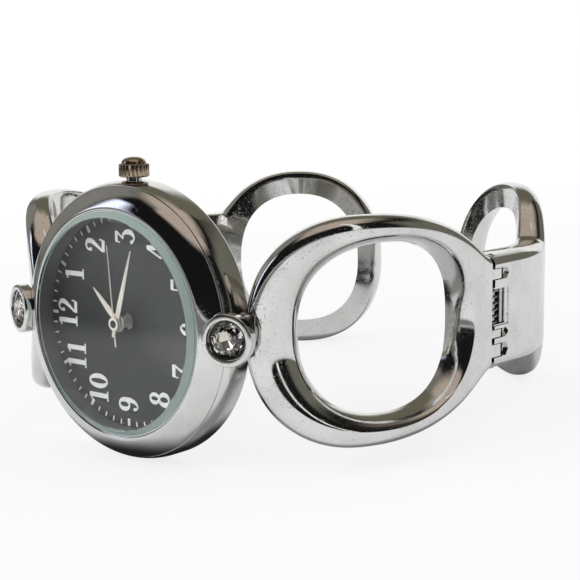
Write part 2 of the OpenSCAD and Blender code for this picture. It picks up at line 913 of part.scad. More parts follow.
module stone() {
    girdle_z = neck_h + 0.75;
    table_z = neck_h + head_h + 0.06;
    color("white")
        at_collar()
            hull() {
                translate([0, 0, neck_h - 0.05])
                    cylinder(d = 0.4 * stone_d, h = 0.02, $fn = 8);
                translate([0, 0, girdle_z])
                    cylinder(d = stone_d, h = 0.1, $fn = 16);
                translate([0, 0, table_z - 0.02])
                    cylinder(d = 0.56 * stone_d, h = 0.02, $fn = 8);
            }
}

module collar_right() {
    collar();
}

module collar_left() {
    on_left()
        collar();
}

module stone_right() {
    stone();
}

module stone_left() {
    on_left()
        stone();
}

// Links
module front_link() {
    color("silver")
        difference() {
            union() {
                difference() {
                    link_ring(outline(front_ring_s, front_mid_s, front_right, front_end),
                        front_hole, [2, -0.6], front_end, 1);
                    in_head()
                        translate([0, 0, -6])
                            cylinder(r = case_r + 0.05, h = 20);
                    at_collar()
                        translate([-6, -lug_w / 2 - 0.05, -tongue_t - 10])
                            cube([6 + lug_out + 0.05, lug_w + 0.1, 10]);
                    at_hinge()
                        translate([0, 0, -20])
                            linear_extrude(40)
                                polygon([[-seam_reach, -4], [-seam_reach, -0.2],
                                    [-pin_back - 0.05, 0.9], [-pin_back - 0.05, 6], [9, 6], [9, -4]]);
                }
                at_collar()
                    translate([0, 0, -tongue_t])
                        linear_extrude(tongue_t - 0.05)
                            tongue_outline(tongue_r);
                at_hinge()
                    for (f = fingers)
                        translate([0, 0, f[0]])
                            linear_extrude(f[1] - f[0])
                                finger_outline();
            }
            at_collar()
                translate([0, 0, -tongue_t - 1])
                    cylinder(d = shank_d + 2 * slide_fit, h = tongue_t + 2);
            at_hinge()
                translate([0, 0, -plate_h])
                    cylinder(d = pin_d + 2 * slide_fit, h = 2 * plate_h);
        }
}

module finger_outline() {
    top = pin_depth - 0.08;
    intersection() {
        union() {
            circle(r = finger_r);
            translate([-2.2, -finger_r])
                square([2.2, 2 * finger_r]);
        }
        translate([-3, -top])
            square([6, top + finger_r]);
    }
}

module slot_outline() {
    circle(r = finger_r + clear);
    translate([-4, -6])
        square([4, 12]);
    translate([-4, -6])
        square([4 + slot_end, 6]);
}

module rear_link() {
    color("silver")
        difference() {
            union() {
                link_ring(outline(free_s, rear_mid_s, rear_ring_len / 2, rear_join),
                    rear_hole, [1, -1], rear_join, -1);
                link_plate(seam_s - 1.5, rear_join, 16);
            }
            at_hinge() {
                translate([-10 - pin_back, -5, -20])
                    cube([10, 12, 40]);
                for (f = fingers)
                    translate([0, 0, f[0] - clear])
                        linear_extrude(f[1] - f[0] + 2 * clear)
                            slot_outline();
                translate([-4, -6, window[0]])
                    cube([4 + window_end, 6 + window_floor, window[1] - window[0]]);
                translate([0, 0, -plate_h])
                    cylinder(d = pin_d + 2 * run_fit, h = 2 * plate_h);
            }
        }
}

module front_link_right() {
    front_link();
}

module front_link_left() {
    on_left()
        front_link();
}

module rear_link_right() {
    rear_link();
}

module rear_link_left() {
    on_left()
        rear_link();
}

// Hinge pins, springs and leaves
module hinge_pin() {
    color("lightgray")
        at_hinge()
            translate([0, 0, -plate_h / 2 + 0.2])
                cylinder(d = pin_d, h = plate_h - 0.4);
}

spring_z = (window[0] + window[1] - spring_turns * spring_pitch) / 2;
spring_path = concat(
    [[-seam_reach + 0.05, -spring_r, spring_z], [-0.45, -spring_r, spring_z]],
    [for (i = [0:spring_turns * spring_steps]) let (a = 360 * i / spring_steps - 90)
        [spring_r * cos(a), spring_r * sin(a), spring_z + spring_pitch * i / spring_steps]],
    [[0.42, -spring_r, spring_z + spring_turns * spring_pitch]]);
spring_gap = min([for (i = [0:len(spring_path) - 1]) for (j = [i + spring_steps - 1:1:len(spring_path) - 1])
    norm(spring_path[i] - spring_path[j])]) - wire_d;
echo("Least gap between the turns of the spring", spring_gap);

function wire_ring(path, i, r) =
    let (n = len(path), t = path[min(i + 1, n - 1)] - path[max(i - 1, 0)], d = t / norm(t),
        side = cross([0, 0, 1], d) / norm(cross([0, 0, 1], d)), up = cross(d, side))
    [for (k = [0:spring_sides - 1]) let (a = 360 * k / spring_sides)
        path[i] + r * (side * cos(a) + up * sin(a))];

module wire(path, r) {
    n = len(path);
    m = spring_sides;
    polyhedron([for (i = [0:n - 1]) each wire_ring(path, i, r)],
        concat([[for (k = [0:m - 1]) k]], [[for (k = [m - 1:-1:0]) (n - 1) * m + k]],
            [for (i = [0:n - 2]) for (k = [0:m - 1])
                let (a = i * m + k, b = i * m + (k + 1) % m, c = b + m, d = a + m)
                each [[a, d, c], [a, c, b]]]),
        convexity = 8);
}

module hinge_spring() {
    color("dimgray")
        at_hinge()
            wire(spring_path, wire_d / 2);
}

module spring_leaf() {
    color("darkgray")
        at_hinge()
            translate([leaf_u, window_floor - 1.5, window[0] + 0.1])
                cube([leaf_w, 1.5, window[1] - window[0] - 0.2]);
}

module hinge_pin_right() {
    hinge_pin();
}

module hinge_pin_left() {
    on_left()
        hinge_pin();
}

module hinge_spring_right() {
    hinge_spring();
}

module hinge_spring_left() {
    on_left()
        hinge_spring();
}

module spring_leaf_right() {
    spring_leaf();
}

module spring_leaf_left() {
    on_left()
        spring_leaf();
}

case();
bezel();
crystal();
crystal_gasket();
chapter_ring();
dial();
case_back();
case_back_gasket();
crown_tube();
movement_holder();
main_plate();
train_bridge();
bridge_screws();
stator();
coil_core();
coil_winding();
circuit_board();
quartz_can();
battery();
battery_strap();
hour_hand();
hour_wheel();
minute_hand();
centre_wheel();
second_hand();
seconds_wheel();
third_wheel();
minute_wheel();
fifth_wheel();
rotor();
clutch_yoke();
clutch();
stem();
crown();
crown_gasket();
collar_right();
collar_left();
stone_right();
stone_left();
front_link_right();
front_link_left();
rear_link_right();
rear_link_left();
hinge_pin_right();
hinge_pin_left();
hinge_spring_right();
hinge_spring_left();
spring_leaf_right();
spring_leaf_left();
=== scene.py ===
"""Looks of the cuff bracelet watch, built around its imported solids. Lengths are millimetres."""
import math

import bmesh
import bpy
import numpy as np
from bpy.props import FloatProperty, FloatVectorProperty, PointerProperty
from mathutils import Matrix, Vector


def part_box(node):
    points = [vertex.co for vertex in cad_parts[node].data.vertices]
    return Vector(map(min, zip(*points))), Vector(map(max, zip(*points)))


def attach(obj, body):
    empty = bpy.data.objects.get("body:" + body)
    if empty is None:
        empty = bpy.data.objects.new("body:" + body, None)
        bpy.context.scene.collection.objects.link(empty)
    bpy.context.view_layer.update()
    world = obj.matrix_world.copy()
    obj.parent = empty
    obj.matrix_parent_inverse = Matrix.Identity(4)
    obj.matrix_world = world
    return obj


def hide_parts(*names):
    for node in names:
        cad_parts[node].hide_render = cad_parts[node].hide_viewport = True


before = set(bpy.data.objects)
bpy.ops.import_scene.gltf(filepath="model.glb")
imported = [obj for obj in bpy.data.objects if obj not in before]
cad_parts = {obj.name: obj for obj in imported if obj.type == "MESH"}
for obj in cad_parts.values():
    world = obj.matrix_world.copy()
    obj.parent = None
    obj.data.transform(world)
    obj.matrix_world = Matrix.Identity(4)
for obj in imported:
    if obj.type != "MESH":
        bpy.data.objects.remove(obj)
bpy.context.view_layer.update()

bl_info = {
    "name": "Cuff Bracelet Watch",
    "version": (1, 0, 0),
    "blender": (4, 5, 0),
    "location": "View3D > Sidebar > Watch",
    "description": "Builds the links, case, dial, hands, stones and studio of a cuff bracelet watch",
    "category": "Add Mesh",
}

MM = 0.001

# Sizes shared with the solids
OVAL_A = 29.4
OVAL_D = 60.8
OVAL_WIDE = 35.8
FRONT_POWER = 2.95
REAR_POWER = 1.8
OVAL_FRONT = 4.9
LINK_T = 3.6
RING_H = 24.4
RING_POWER = 2.25
PLATE_H = 13.2
RIM_W = 1.8
HOLE_FLARE = 1.3
ROOT_FLARE = 0.9
CASE_R = 15.3
BAND_BACK = 0.4
BAND_FRONT = 4.15
CAVITY_R = 11.8
BACK_LIP_R = 13.0
BEZEL_TOP = 5.85
BEZEL_BORE_R = 12.32
BEZEL_LIP_R = 13.07
BEZEL_LIP_H = 0.6
CRYSTAL_Z = 5.5
CRYSTAL_R = 12.2
CRYSTAL_T = 1.0
CRYSTAL_BEVEL = 0.6
DIAL_FRONT = 3.3
DIAL_VIEW_R = 11.55
HAND_ROOM = 2.2
HOUR_LIFT = 1.2
HAND_RISE = 0.33
HOUR_T = 0.15
MINUTE_T = 0.13
SECOND_T = 0.1
STEM_H = 2.0
CROWN_Z = 15.65
CROWN_R = 1.65
CROWN_H = 1.45
DOME_H = 0.75
FLUTES = 24
TUBE_R = 0.85
STEM_R = 0.4
COLLAR_R = 2.775
COLLAR_HEAD_H = 1.33
NECK_R = 2.25
NECK_H = 1.25
RECESS_R = 2.15
SHANK_R = 0.8
STONE_R = 1.8
TONGUE_T = 1.1
TONGUE_R = 2.35
LUG_W = 4.6
LUG_OUT = 1.35
LUG_H = 2.0
PIN_R = 0.4
PIN_BACK = 0.6
PIN_DEPTH = 0.95
FINGER_R = 1.15
FINGERS = ((3.8, 4.9), (-2.8, -1.95), (-5.0, -3.6))
WINDOW = (-1.35, 2.65)
WINDOW_FLOOR = 0.95
WINDOW_END = 1.6
SLOT_END = 1.5
NOTCH_END = 2.25
NOTCH_D = 0.35
WIRE_D = 0.24
SPRING_PITCH = 0.72
SPRING_TURNS = 5
CLEAR = 0.1
PRESS_GAP = 0.02
TURN_GAP = 0.03
SNUG_GAP = 0.05
FRONT_LEN = 33.0
REAR_RING_LEN = 25.0
REAR_GAP = 15.4
ROOT_BAR = 3.4
HINGE_BAR = 3.7
REAR_BAR = 1.8
SEAM_REACH = math.hypot(PIN_BACK, PIN_DEPTH) + TURN_GAP

# Detail that the solids have plainer or not at all
FLUTE_D = 0.1
COIL_TURNS = 40

# How finely the pieces are drawn
OVAL_STEPS = 240
RING_STEPS = 48
END_ROWS = 10
OUTER_STEPS = 7
INNER_STEPS = 6
RIM_SPANS = 4
PLATE_STEPS = 24
COIL_STEPS = 32
LATHE_STEPS = 192

# How far the cutting tools reach past a piece
TOOL_REACH = 4.0
TOOL_FAR = 6.0
PAST_SEAM = 9.0
PAST_HEAD = 14
PAST_LINK = 20


# The oval that the links follow
def oval_raw(turn):
    in_front = turn <= math.pi / 2
    power = FRONT_POWER if in_front else REAR_POWER
    depth = OVAL_WIDE if in_front else OVAL_WIDE - OVAL_D
    x = OVAL_A * abs(math.sin(turn)) ** (2 / power)
    y = OVAL_WIDE - OVAL_FRONT - depth * abs(math.cos(turn)) ** (2 / power)
    return np.array((x, y))


OVAL_TURNS = np.linspace(0, math.pi, OVAL_STEPS + 1)
OVAL_POINTS = np.array([oval_raw(turn) for turn in OVAL_TURNS])
OVAL_SPANS = np.linalg.norm(np.diff(OVAL_POINTS, axis=0), axis=1)
OVAL_LENGTHS = np.concatenate(([0.0], np.cumsum(OVAL_SPANS)))
OVAL_REACH = 0.4


def oval(s):
    """The place on the oval at the length s from its front."""
    return oval_raw(float(np.interp(s, OVAL_LENGTHS, OVAL_TURNS)))


def along(s):
    step = oval(s + OVAL_REACH) - oval(s - OVAL_REACH)
    return step / np.linalg.norm(step)


def out_of(s):
    step = along(s)
    return np.array((step[1], -step[0]))


def on_link(s, z, depth):
    """A place in a link, with its depth below the outer face."""
    place = oval(s) - out_of(s) * depth
    return place[0], place[1], z


OVAL_HALF = OVAL_STEPS // 2 + 1
COLLAR_X = CASE_R - 0.1
COLLAR_S = float(np.interp(COLLAR_X, OVAL_POINTS[:OVAL_HALF, 0], OVAL_LENGTHS[:OVAL_HALF]))
SEAM_S = COLLAR_S + FRONT_LEN
PIN_S = SEAM_S + PIN_BACK
FREE_S = OVAL_LENGTHS[-1] - REAR_GAP / 2
FRONT_RING_S = COLLAR_S + 0.6
FRONT_MID_S = COLLAR_S + 14.2
FRONT_END_S = SEAM_S + 1.2
FRONT_HALF = SEAM_S + 0.7 - FRONT_MID_S
FRONT_HOLE = (FRONT_RING_S + ROOT_BAR - ROOT_FLARE, SEAM_S - HINGE_BAR)
FRONT_NARROW = (2.0 + ROOT_FLARE / HOLE_FLARE, -0.6)
REAR_MID_S = FREE_S - REAR_RING_LEN / 2
REAR_JOIN_S = FREE_S - REAR_RING_LEN
REAR_HOLE = (REAR_JOIN_S + REAR_BAR, FREE_S - REAR_BAR)
REAR_NARROW = (1, -1)


def turned(x, y, z, rx, rz):
    return Matrix.Translation((x, y, z)) @ Matrix.Rotation(rz, 4, "Z") @ Matrix.Rotation(rx, 4, "X")


IN_HEAD = turned(0, 0, 0, math.pi / 2, 0)
COLLAR_XY = oval(COLLAR_S)
COLLAR_TURN = math.atan2(out_of(COLLAR_S)[0], -out_of(COLLAR_S)[1])
AT_COLLAR = turned(COLLAR_XY[0], COLLAR_XY[1], 0, math.pi / 2, COLLAR_TURN)
PIN_XYZ = on_link(PIN_S, 0, PIN_DEPTH)
AT_HINGE = turned(*PIN_XYZ, 0, math.atan2(along(PIN_S)[1], along(PIN_S)[0]))
AT_STEM = Matrix.Translation((0, -STEM_H, 0))
ON_LEFT = Matrix.Scale(-1, 4, (1, 0, 0))
SIDES = ("right", "left")


# Shader maths
class Term:
    """A socket that can be used in a sum."""

    def __init__(self, tree, socket):
        self.tree = tree
        self.socket = socket

    def __add__(self, other):
        return self.tree.sum_of("ADD", self, other)

    def __sub__(self, other):
        return self.tree.sum_of("SUBTRACT", self, other)

    def __rsub__(self, other):
        return self.tree.sum_of("SUBTRACT", other, self)

    def __mul__(self, other):
        return self.tree.sum_of("MULTIPLY", self, other)

    def __pow__(self, other):
        return self.tree.sum_of("POWER", self, other)

    __radd__ = __add__
    __rmul__ = __mul__


class Tree:
    """A node tree that is written as expressions."""

    def __init__(self, owner):
        owner.use_nodes = True
        self.tree = owner.node_tree
        self.tree.nodes.clear()

    def node(self, kind, settings=None, values=None):
        node = self.tree.nodes.new(kind)
        for key, value in (settings or {}).items():
            setattr(node, key, value)
        for key, value in (values or {}).items():
            if isinstance(value, Term):
                self.tree.links.new(value.socket, node.inputs[key])
            else:
                node.inputs[key].default_value = value
        return node

    def term(self, kind, settings=None, values=None, output=0):
        return Term(self, self.node(kind, settings, values).outputs[output])

    def sum_of(self, operation, *values):
        return self.term("ShaderNodeMath", {"operation": operation}, dict(enumerate(values)))

    def mix(self, mask, first, second):
        return self.term("ShaderNodeMix", {"data_type": "RGBA"}, {0: mask, 6: first, 7: second}, 2)

    def mix_shaders(self, mask, first, second):
        return self.term("ShaderNodeMixShader", None, {0: mask, 1: first, 2: second})

    def place(self):
        """The place on the object, in millimetres."""
        here = self.term("ShaderNodeTexCoord", output="Object")
        return self.term("ShaderNodeVectorMath", {"operation": "SCALE"}, {0: here, "Scale": 1 / MM})

    def axes(self, place):
        parts = self.node("ShaderNodeSeparateXYZ", None, {0: place})
        return [Term(self, output) for output in parts.outputs]

    def rays(self, *kinds):
        """Whether a ray is of each of these kinds."""
        path = self.node("ShaderNodeLightPath")
        return [Term(self, path.outputs[f"Is {kind} Ray"]) for kind in kinds]

    def noise(self, place, scale, detail):
        return self.term("ShaderNodeTexNoise", None,
                         {"Vector": place, "Scale": scale, "Detail": detail, "Roughness": 0.55})

    def lines(self, place, kind, direction, scale, waver, detail):
        """Fine lines: RINGS round an axis, or straight BANDS."""
        return self.term("ShaderNodeTexWave", {"wave_type": kind, kind.lower() + "_direction": direction},
                         {"Vector": place, "Scale": scale, "Distortion": waver, "Detail": detail}, "Fac")

    def step(self, value, low, high, first=0.0, last=1.0):
        return self.term("ShaderNodeMapRange", {"interpolation_type": "SMOOTHSTEP"},
                         {0: value, 1: low, 2: high, 3: first, 4: last})

    def patches(self, place, scale, detail, low=0.35, high=0.7):
        """Soft blotches: 1 in a blotch and 0 between them."""
        return self.step(self.noise(place, scale, detail), low, high)

    def bump(self, height, strength, distance):
        return self.term("ShaderNodeBump", None,
                         {"Height": height, "Strength": strength, "Distance": distance * MM}, "Normal")

    def principled(self, values):
        return self.term("ShaderNodeBsdfPrincipled", None, values)

    def finish(self, shader):
        self.node("ShaderNodeOutputMaterial", None, {"Surface": shader})

    def finish_clear(self, shader, tint):
        """Ends a clear finish, which the lamps shine through."""
        through = self.term("ShaderNodeBsdfTransparent", None, {"Color": tint})
        self.finish(self.mix_shaders(self.rays("Shadow")[0], shader, through))


FINISHES = {}


def new_finish(name):
    FINISHES[name] = bpy.data.materials.new(name)
    return Tree(FINISHES[name])


def rgba(colour, share=1.0):
    return tuple(channel * share for channel in colour[:3]) + (1.0,)


# Marks on plated metal
SMUDGE_SHADE = 0.88
PIT_SHADE = 0.4
PIT_COVER = 0.8
PIT_ROUGH = 0.25
PIT_DEPTH = 2.0
GRAIN_ROUGH = 0.1
GRAIN_HEIGHT = 0.12


def polished(name, tint, low, high, grain=0.0, pits=0.0):
    """Plated metal with smudges, fine grain and a few pits. Its roughness lies between low and high."""
    tree = new_finish(name)
    place = tree.place()
    smudge = tree.patches(place, 0.22, 5.0)
    fine = tree.noise(place, 5.0, 4.0)
    wave = tree.noise(place, 0.5, 2.0)
    pit = tree.patches(place, 4.5, 2.0, 0.6, 0.72)
    colour = tree.mix(smudge, rgba(tint), rgba(tint, SMUDGE_SHADE))
    colour = tree.mix(pit * pits * PIT_COVER, colour, rgba(tint, PIT_SHADE))
    rough = smudge * (high - low) + low + fine * grain * GRAIN_ROUGH + pit * pits * PIT_ROUGH
    height = wave + fine * (GRAIN_HEIGHT + grain) - pit * pits * PIT_DEPTH
    tree.finish(tree.principled({
        "Base Color": colour, "Metallic": 1.0, "Roughness": rough, "Normal": tree.bump(height, 0.18, 0.012)}))


def turned_metal(name, tint, low, high, scale):
    """Metal with the circular lines of a lathe about the head's axis."""
    tree = new_finish(name)
    place = tree.place()
    lines = tree.lines(place, "RINGS", "Y", scale, 0.4, 3.0)
    smudge = tree.patches(place, 0.3, 4.0)
    tree.finish(tree.principled({
        "Base Color": tree.mix(lines, rgba(tint), rgba(tint, 0.86)), "Metallic": 1.0,
        "Roughness": smudge * (high - low) + low + lines * 0.05, "Normal": tree.bump(lines, 0.25, 0.01)}))


def plain(name, tint, rough, mottle, scale, coat=0.0, bump=0.15, gloss=0.5):
    """Moulded or painted stuff with a slight mottle."""
    tree = new_finish(name)
    cloud = tree.noise(tree.place(), scale, 4.0)
    spread = 0.12
    tree.finish(tree.principled({
        "Base Color": tree.mix(cloud, rgba(tint, 1 - mottle), rgba(tint, 1 + mottle * 0.5)),
        "Roughness": cloud * spread + (rough - spread / 2), "Specular IOR Level": gloss,
        "Coat Weight": coat, "Coat Roughness": 0.08, "Normal": tree.bump(cloud, bump, 0.01)}))


def striped(name, tint, dark, direction, scale, rough):
    """Wound wire or a milled face: fine parallel lines in metal."""
    tree = new_finish(name)
    lines = tree.lines(tree.place(), "BANDS", direction, scale, 0.3, 2.0)
    tree.finish(tree.principled({
        "Base Color": tree.mix(lines, rgba(dark), rgba(tint)), "Metallic": 1.0,
        "Roughness": lines * 0.1 + rough, "Normal": tree.bump(lines, 0.4, 0.02)}))


def glass(name, clear, edge, ior, edge_r, frost):
    """A clear pane whose bevel, outside edge_r, is ground and shows the tint of the edge."""
    tree = new_finish(name)
    place = tree.place()
    x, _, z = tree.axes(place)
    rim = tree.step((x * x + z * z) ** 0.5, edge_r - 0.05, edge_r + 0.05)
    smear = tree.patches(place, 0.35, 5.0, 0.45, 0.75)
    pane = tree.principled({
        "Base Color": tree.mix(rim, rgba(clear), rgba(edge)), "Transmission Weight": 1.0, "IOR": ior,
        "Roughness": rim * 0.12 + smear * 0.01})
    ground = tree.principled({"Base Color": rgba(edge), "Roughness": 0.35, "Coat Weight": 0.5})
    tree.finish_clear(tree.mix_shaders(rim * frost, pane, ground), rgba(clear, 0.95))


def cut_stone(name, tint, ior):
    """A clear cut stone with a little haze along its facets."""
    tree = new_finish(name)
    haze = tree.patches(tree.place(), 1.1, 3.0, 0.4, 0.8)
    stone = tree.principled({
        "Base Color": tree.mix(haze, rgba(tint), rgba(tint, 0.86)), "Transmission Weight": 1.0,
        "IOR": ior, "Roughness": haze * 0.04 + 0.01})
    tree.finish_clear(stone, rgba(tint, 0.9))


# Mesh makers
def rounded(corners, steps=4):
    """A profile whose corners (x, y, radius) are turned into arcs."""
    points = []
    count = len(corners)
    for i, corner in enumerate(corners):
        here = np.array(corner[:2], float)
        if len(corner) < 3:
            points.append(tuple(here))
            continue
        before = np.array(corners[i - 1][:2], float) - here
        after = np.array(corners[(i + 1) % count][:2], float) - here
        reach = min(corner[2], 0.45 * np.linalg.norm(before), 0.45 * np.linalg.norm(after))
        start = here + before / np.linalg.norm(before) * reach
        end = here + after / np.linalg.norm(after) * reach
        for k in range(steps + 1):
            t = k / steps
            points.append(tuple((1 - t) ** 2 * start + 2 * t * (1 - t) * here + t * t * end))
    return points


def lathe(profile, place, segments=LATHE_STEPS, closed=True, ripple=None):
    """Verts and faces of a turned shape. A point of the profile is (radius, height, ripple share)."""
    verts, rows, faces = [], [], []
    for point in profile:
        radius, height = point[0], point[1]
        share = point[2] if len(point) > 2 else 0.0
        start = len(verts)
        if radius < 1e-6:
            verts.append(place @ Vector((0, 0, height)))
            rows.append([start] * segments)
            continue
        for k in range(segments):
            turn = 2 * math.pi * k / segments
            reach = radius - (ripple(turn) * share if ripple and share else 0.0)
            verts.append(place @ Vector((reach * math.cos(turn), reach * math.sin(turn), height)))
        rows.append(list(range(start, start + segments)))
    pairs = list(zip(rows, rows[1:])) + ([(rows[-1], rows[0])] if closed else [])
    for first, second in pairs:
        for k in range(segments):
            nxt = (k + 1) % segments
            face = list(dict.fromkeys([first[k], first[nxt], second[nxt], second[k]]))
            if len(face) > 2:
                faces.append(face)
    return verts, faces


def prism(outline, low, high, place):
    """Verts and faces of an outline drawn up from low to high."""
    count = len(outline)
    verts = [place @ Vector((p[0], p[1], level)) for level in (low, high) for p in outline]
    faces = [list(range(count))[::-1], list(range(count, 2 * count))]
    faces += [[k, (k + 1) % count, count + (k + 1) % count, count + k] for k in range(count)]
    return verts, faces


def box_shape(low, high, place):
    return prism([(low[0], low[1]), (high[0], low[1]), (high[0], high[1]), (low[0], high[1])],
                 low[2], high[2], place)


def circle(radius, steps, x=0.0, y=0.0):
    turns = [2 * math.pi * k / steps for k in range(steps)]
    return [(x + radius * math.cos(a), y + radius * math.sin(a)) for a in turns]


def arc(radius, start, end, steps):
    return [(radius * math.cos(a), radius * math.sin(a)) for a in np.linspace(start, end, steps + 1)]


def rod(radius, low, high, place, steps=64):
    return prism(circle(radius, steps), low, high, place)


def joined(*shapes):
    verts, faces = [], []
    for shape in shapes:
        start = len(verts)
        verts += list(shape[0])
        faces += [[k + start for k in face] for face in shape[1]]
    return verts, faces


def placed(shape, place):
    return [place @ Vector(v) for v in shape[0]], shape[1]


def mesh_of(name, shape, weld=True):
    """A mesh with its faces turned outwards, and with points in the same place made one."""
    mesh = bpy.data.meshes.new(name)
    mesh.from_pydata([tuple(v) for v in shape[0]], [], shape[1])
    edit = bmesh.new()
    edit.from_mesh(mesh)
    if weld:
        bmesh.ops.remove_doubles(edit, verts=edit.verts, dist=1e-4)
        loose = [v for v in edit.verts if not v.link_faces]
        bmesh.ops.delete(edit, geom=loose, context="VERTS")
    bmesh.ops.recalc_face_normals(edit, faces=edit.faces)
    edit.to_mesh(mesh)
    edit.free()
    return mesh


def shape_of(mesh):
    return [v.co.copy() for v in mesh.vertices], [list(face.vertices) for face in mesh.polygons]


def carve(name, shape, steps):
    """A shape after its cuts and additions, each a pair of an operation and a shape."""
    body = bpy.data.objects.new(name, mesh_of(name, shape))
    bpy.context.scene.collection.objects.link(body)
    for operation, tool_shape in steps:
        tool = bpy.data.objects.new(name + "_tool", mesh_of(name + "_tool", tool_shape))
        bpy.context.scene.collection.objects.link(tool)
        change = body.modifiers.new("change", "BOOLEAN")
        change.operation = operation
        change.solver = "EXACT"
        change.object = tool
        bpy.context.view_layer.update()
        depsgraph = bpy.context.evaluated_depsgraph_get()
        done = bpy.data.meshes.new_from_object(body.evaluated_get(depsgraph))
        body.modifiers.clear()
        body.data = done
        bpy.data.objects.remove(tool)
    mesh = body.data
    bpy.data.objects.remove(body)
    if not mesh.polygons:
        raise RuntimeError("cutting " + name + " left nothing")
    return mesh


def add_piece(name, mesh, body, finish, stands_for=(), sharp=32.0, mirrored=False):
    """Puts a mesh in millimetres into the scene as a piece that rides on a body."""
    mesh.transform((Matrix.Scale(MM, 4) @ ON_LEFT) if mirrored else Matrix.Scale(MM, 4))
    if mirrored:
        mesh.flip_normals()
    mesh.name = name
    mesh.materials.clear()
    mesh.materials.append(FINISHES[finish])
    mesh.polygons.foreach_set("use_smooth", [True] * len(mesh.polygons))
    mesh.polygons.foreach_set("material_index", [0] * len(mesh.polygons))
    mesh.set_sharp_from_angle(angle=math.radians(sharp))
    piece = bpy.data.objects.new(name, mesh)
    bpy.context.scene.collection.objects.link(piece)
    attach(piece, body)
    if stands_for:
        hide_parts(*stands_for)


def stand_in(node, mesh, finish, sharp=32.0, body="head", side=""):
    """Adds the piece that takes the place of a solid, in the finish that its slot is named for."""
    end = "_" + side if side else ""
    add_piece(node + "_piece" + end, mesh, body, finish, [node + end], sharp, side == "left")


def dress(finish, *nodes):
    """Gives solids that stay their finish."""
    for node in nodes:
        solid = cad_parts[node]
        if not solid.material_slots:
            raise RuntimeError(node + " has no material slot")
        for place in solid.material_slots:
            place.material = FINISHES[finish]


# Links
SIDE_IN = 1.28
SIDE_MID = 0.6
SIDE_FOOT = 0.35
OUTER_POWER = 2.0
INNER_POWER = 2.5
WALL_SHARES = (0.0, 0.03, 0.08, 0.15, 0.24, 0.34, 0.45, 0.57, 0.69, 0.81, 0.92)
INNER_CROWN = 0.9
JOIN_POWER = 6
SWELL_POWER = 8
WALL_EASE = (0.6, 1.35)
PLATE_OVERLAP = 1.5
WEB = 2.2
FINGER_SINK = 0.08
WINDOW_FRAME = 0.15


def side_profile():
    """Edge of a link: distance in from the outline and depth as a share of the thickness."""
    points = []
    for k in range(OUTER_STEPS + 1):
        t = math.pi / 2 * (1 - k / OUTER_STEPS)
        points.append((SIDE_IN * (1 - math.cos(t) ** (2 / OUTER_POWER)),
                       SIDE_MID * (1 - math.sin(t) ** (2 / OUTER_POWER))))
    for k in range(1, INNER_STEPS + 1):
        t = math.pi / 2 * k / INNER_STEPS
        points.append((SIDE_FOOT * (1 - math.cos(t) ** (2 / INNER_POWER)),
                       SIDE_MID + (1 - SIDE_MID) * math.sin(t) ** (2 / INNER_POWER)))
    return points


SIDE = side_profile()


def thickness(z):
    """The link's thickness: its inner face is a little crowned."""
    return LINK_T - INNER_CROWN * (z / RING_H * 2) ** 2


def hole_point(p, hole, half_h):
    """The place on the opening's edge on the ray from its middle to p."""
    middle = np.array(((hole[0] + hole[1]) / 2, 0.0))
    half_s = (hole[1] - hole[0]) / 2
    reach = abs((p[0] - middle[0]) / half_s) ** RING_POWER + abs(p[1] / half_h) ** RING_POWER
    return middle + (p - middle) / reach ** (1 / RING_POWER)


def ring_outline(tip, mid, half, s_end):
    """Outline from the tip over the top to the flat end, and back below."""
    height = RING_H / 2
    plate = PLATE_H / 2
    swell = (1 + (plate / height) ** JOIN_POWER) ** (1 / JOIN_POWER) - 1
    upper = []
    for k in range(RING_STEPS):
        a = math.pi / 2 * k / RING_STEPS
        z = height * math.sin(a) ** (2 / RING_POWER) * (1 + swell * math.sin(a) ** SWELL_POWER)
        upper.append((mid + (tip - mid) * math.cos(a) ** (2 / RING_POWER), z))
    for k in range(RING_STEPS + 1):
        s = mid + (s_end - mid) * k / RING_STEPS
        z = height * max(0.0, 1 - abs((s - mid) / half) ** RING_POWER) ** (1 / RING_POWER)
        upper.append((s, (z ** JOIN_POWER + plate ** JOIN_POWER) ** (1 / JOIN_POWER)))
    end = [(s_end, PLATE_H * (0.5 - k / END_ROWS)) for k in range(1, END_ROWS)]
    lower = [(s, -z) for s, z in upper[:0:-1]]
    first_end = len(upper) - 1
    return np.array(upper + end + lower), (first_end, first_end + END_ROWS)


def ring_section(p, side, hole, narrow):
    """The link's section at a place on its outline, round from the opening's inner edge."""
    half_h = RING_H / 2 - RIM_W
    front = hole_point(p, hole, half_h)
    moved = (hole[0] + narrow[0] * HOLE_FLARE, hole[1] + narrow[1] * HOLE_FLARE)
    back = hole_point(p, moved, half_h - HOLE_FLARE)
    edge = p - SIDE_IN * side
    foot = p - SIDE_FOOT * side
    thick = thickness(p[1])
    rows = [(*(back + (front - back) * share), thick * (1 - share ** WALL_EASE[0]) ** WALL_EASE[1])
            for share in WALL_SHARES]
    rows += [(*(front + (edge - front) * k / RIM_SPANS), 0.0) for k in range(RIM_SPANS)]
    rows += [(*(p - inward * side), depth * thick) for inward, depth in SIDE]
    rows += [(*(foot + (back - foot) * k / RIM_SPANS), thick) for k in range(1, RIM_SPANS)]
    return rows


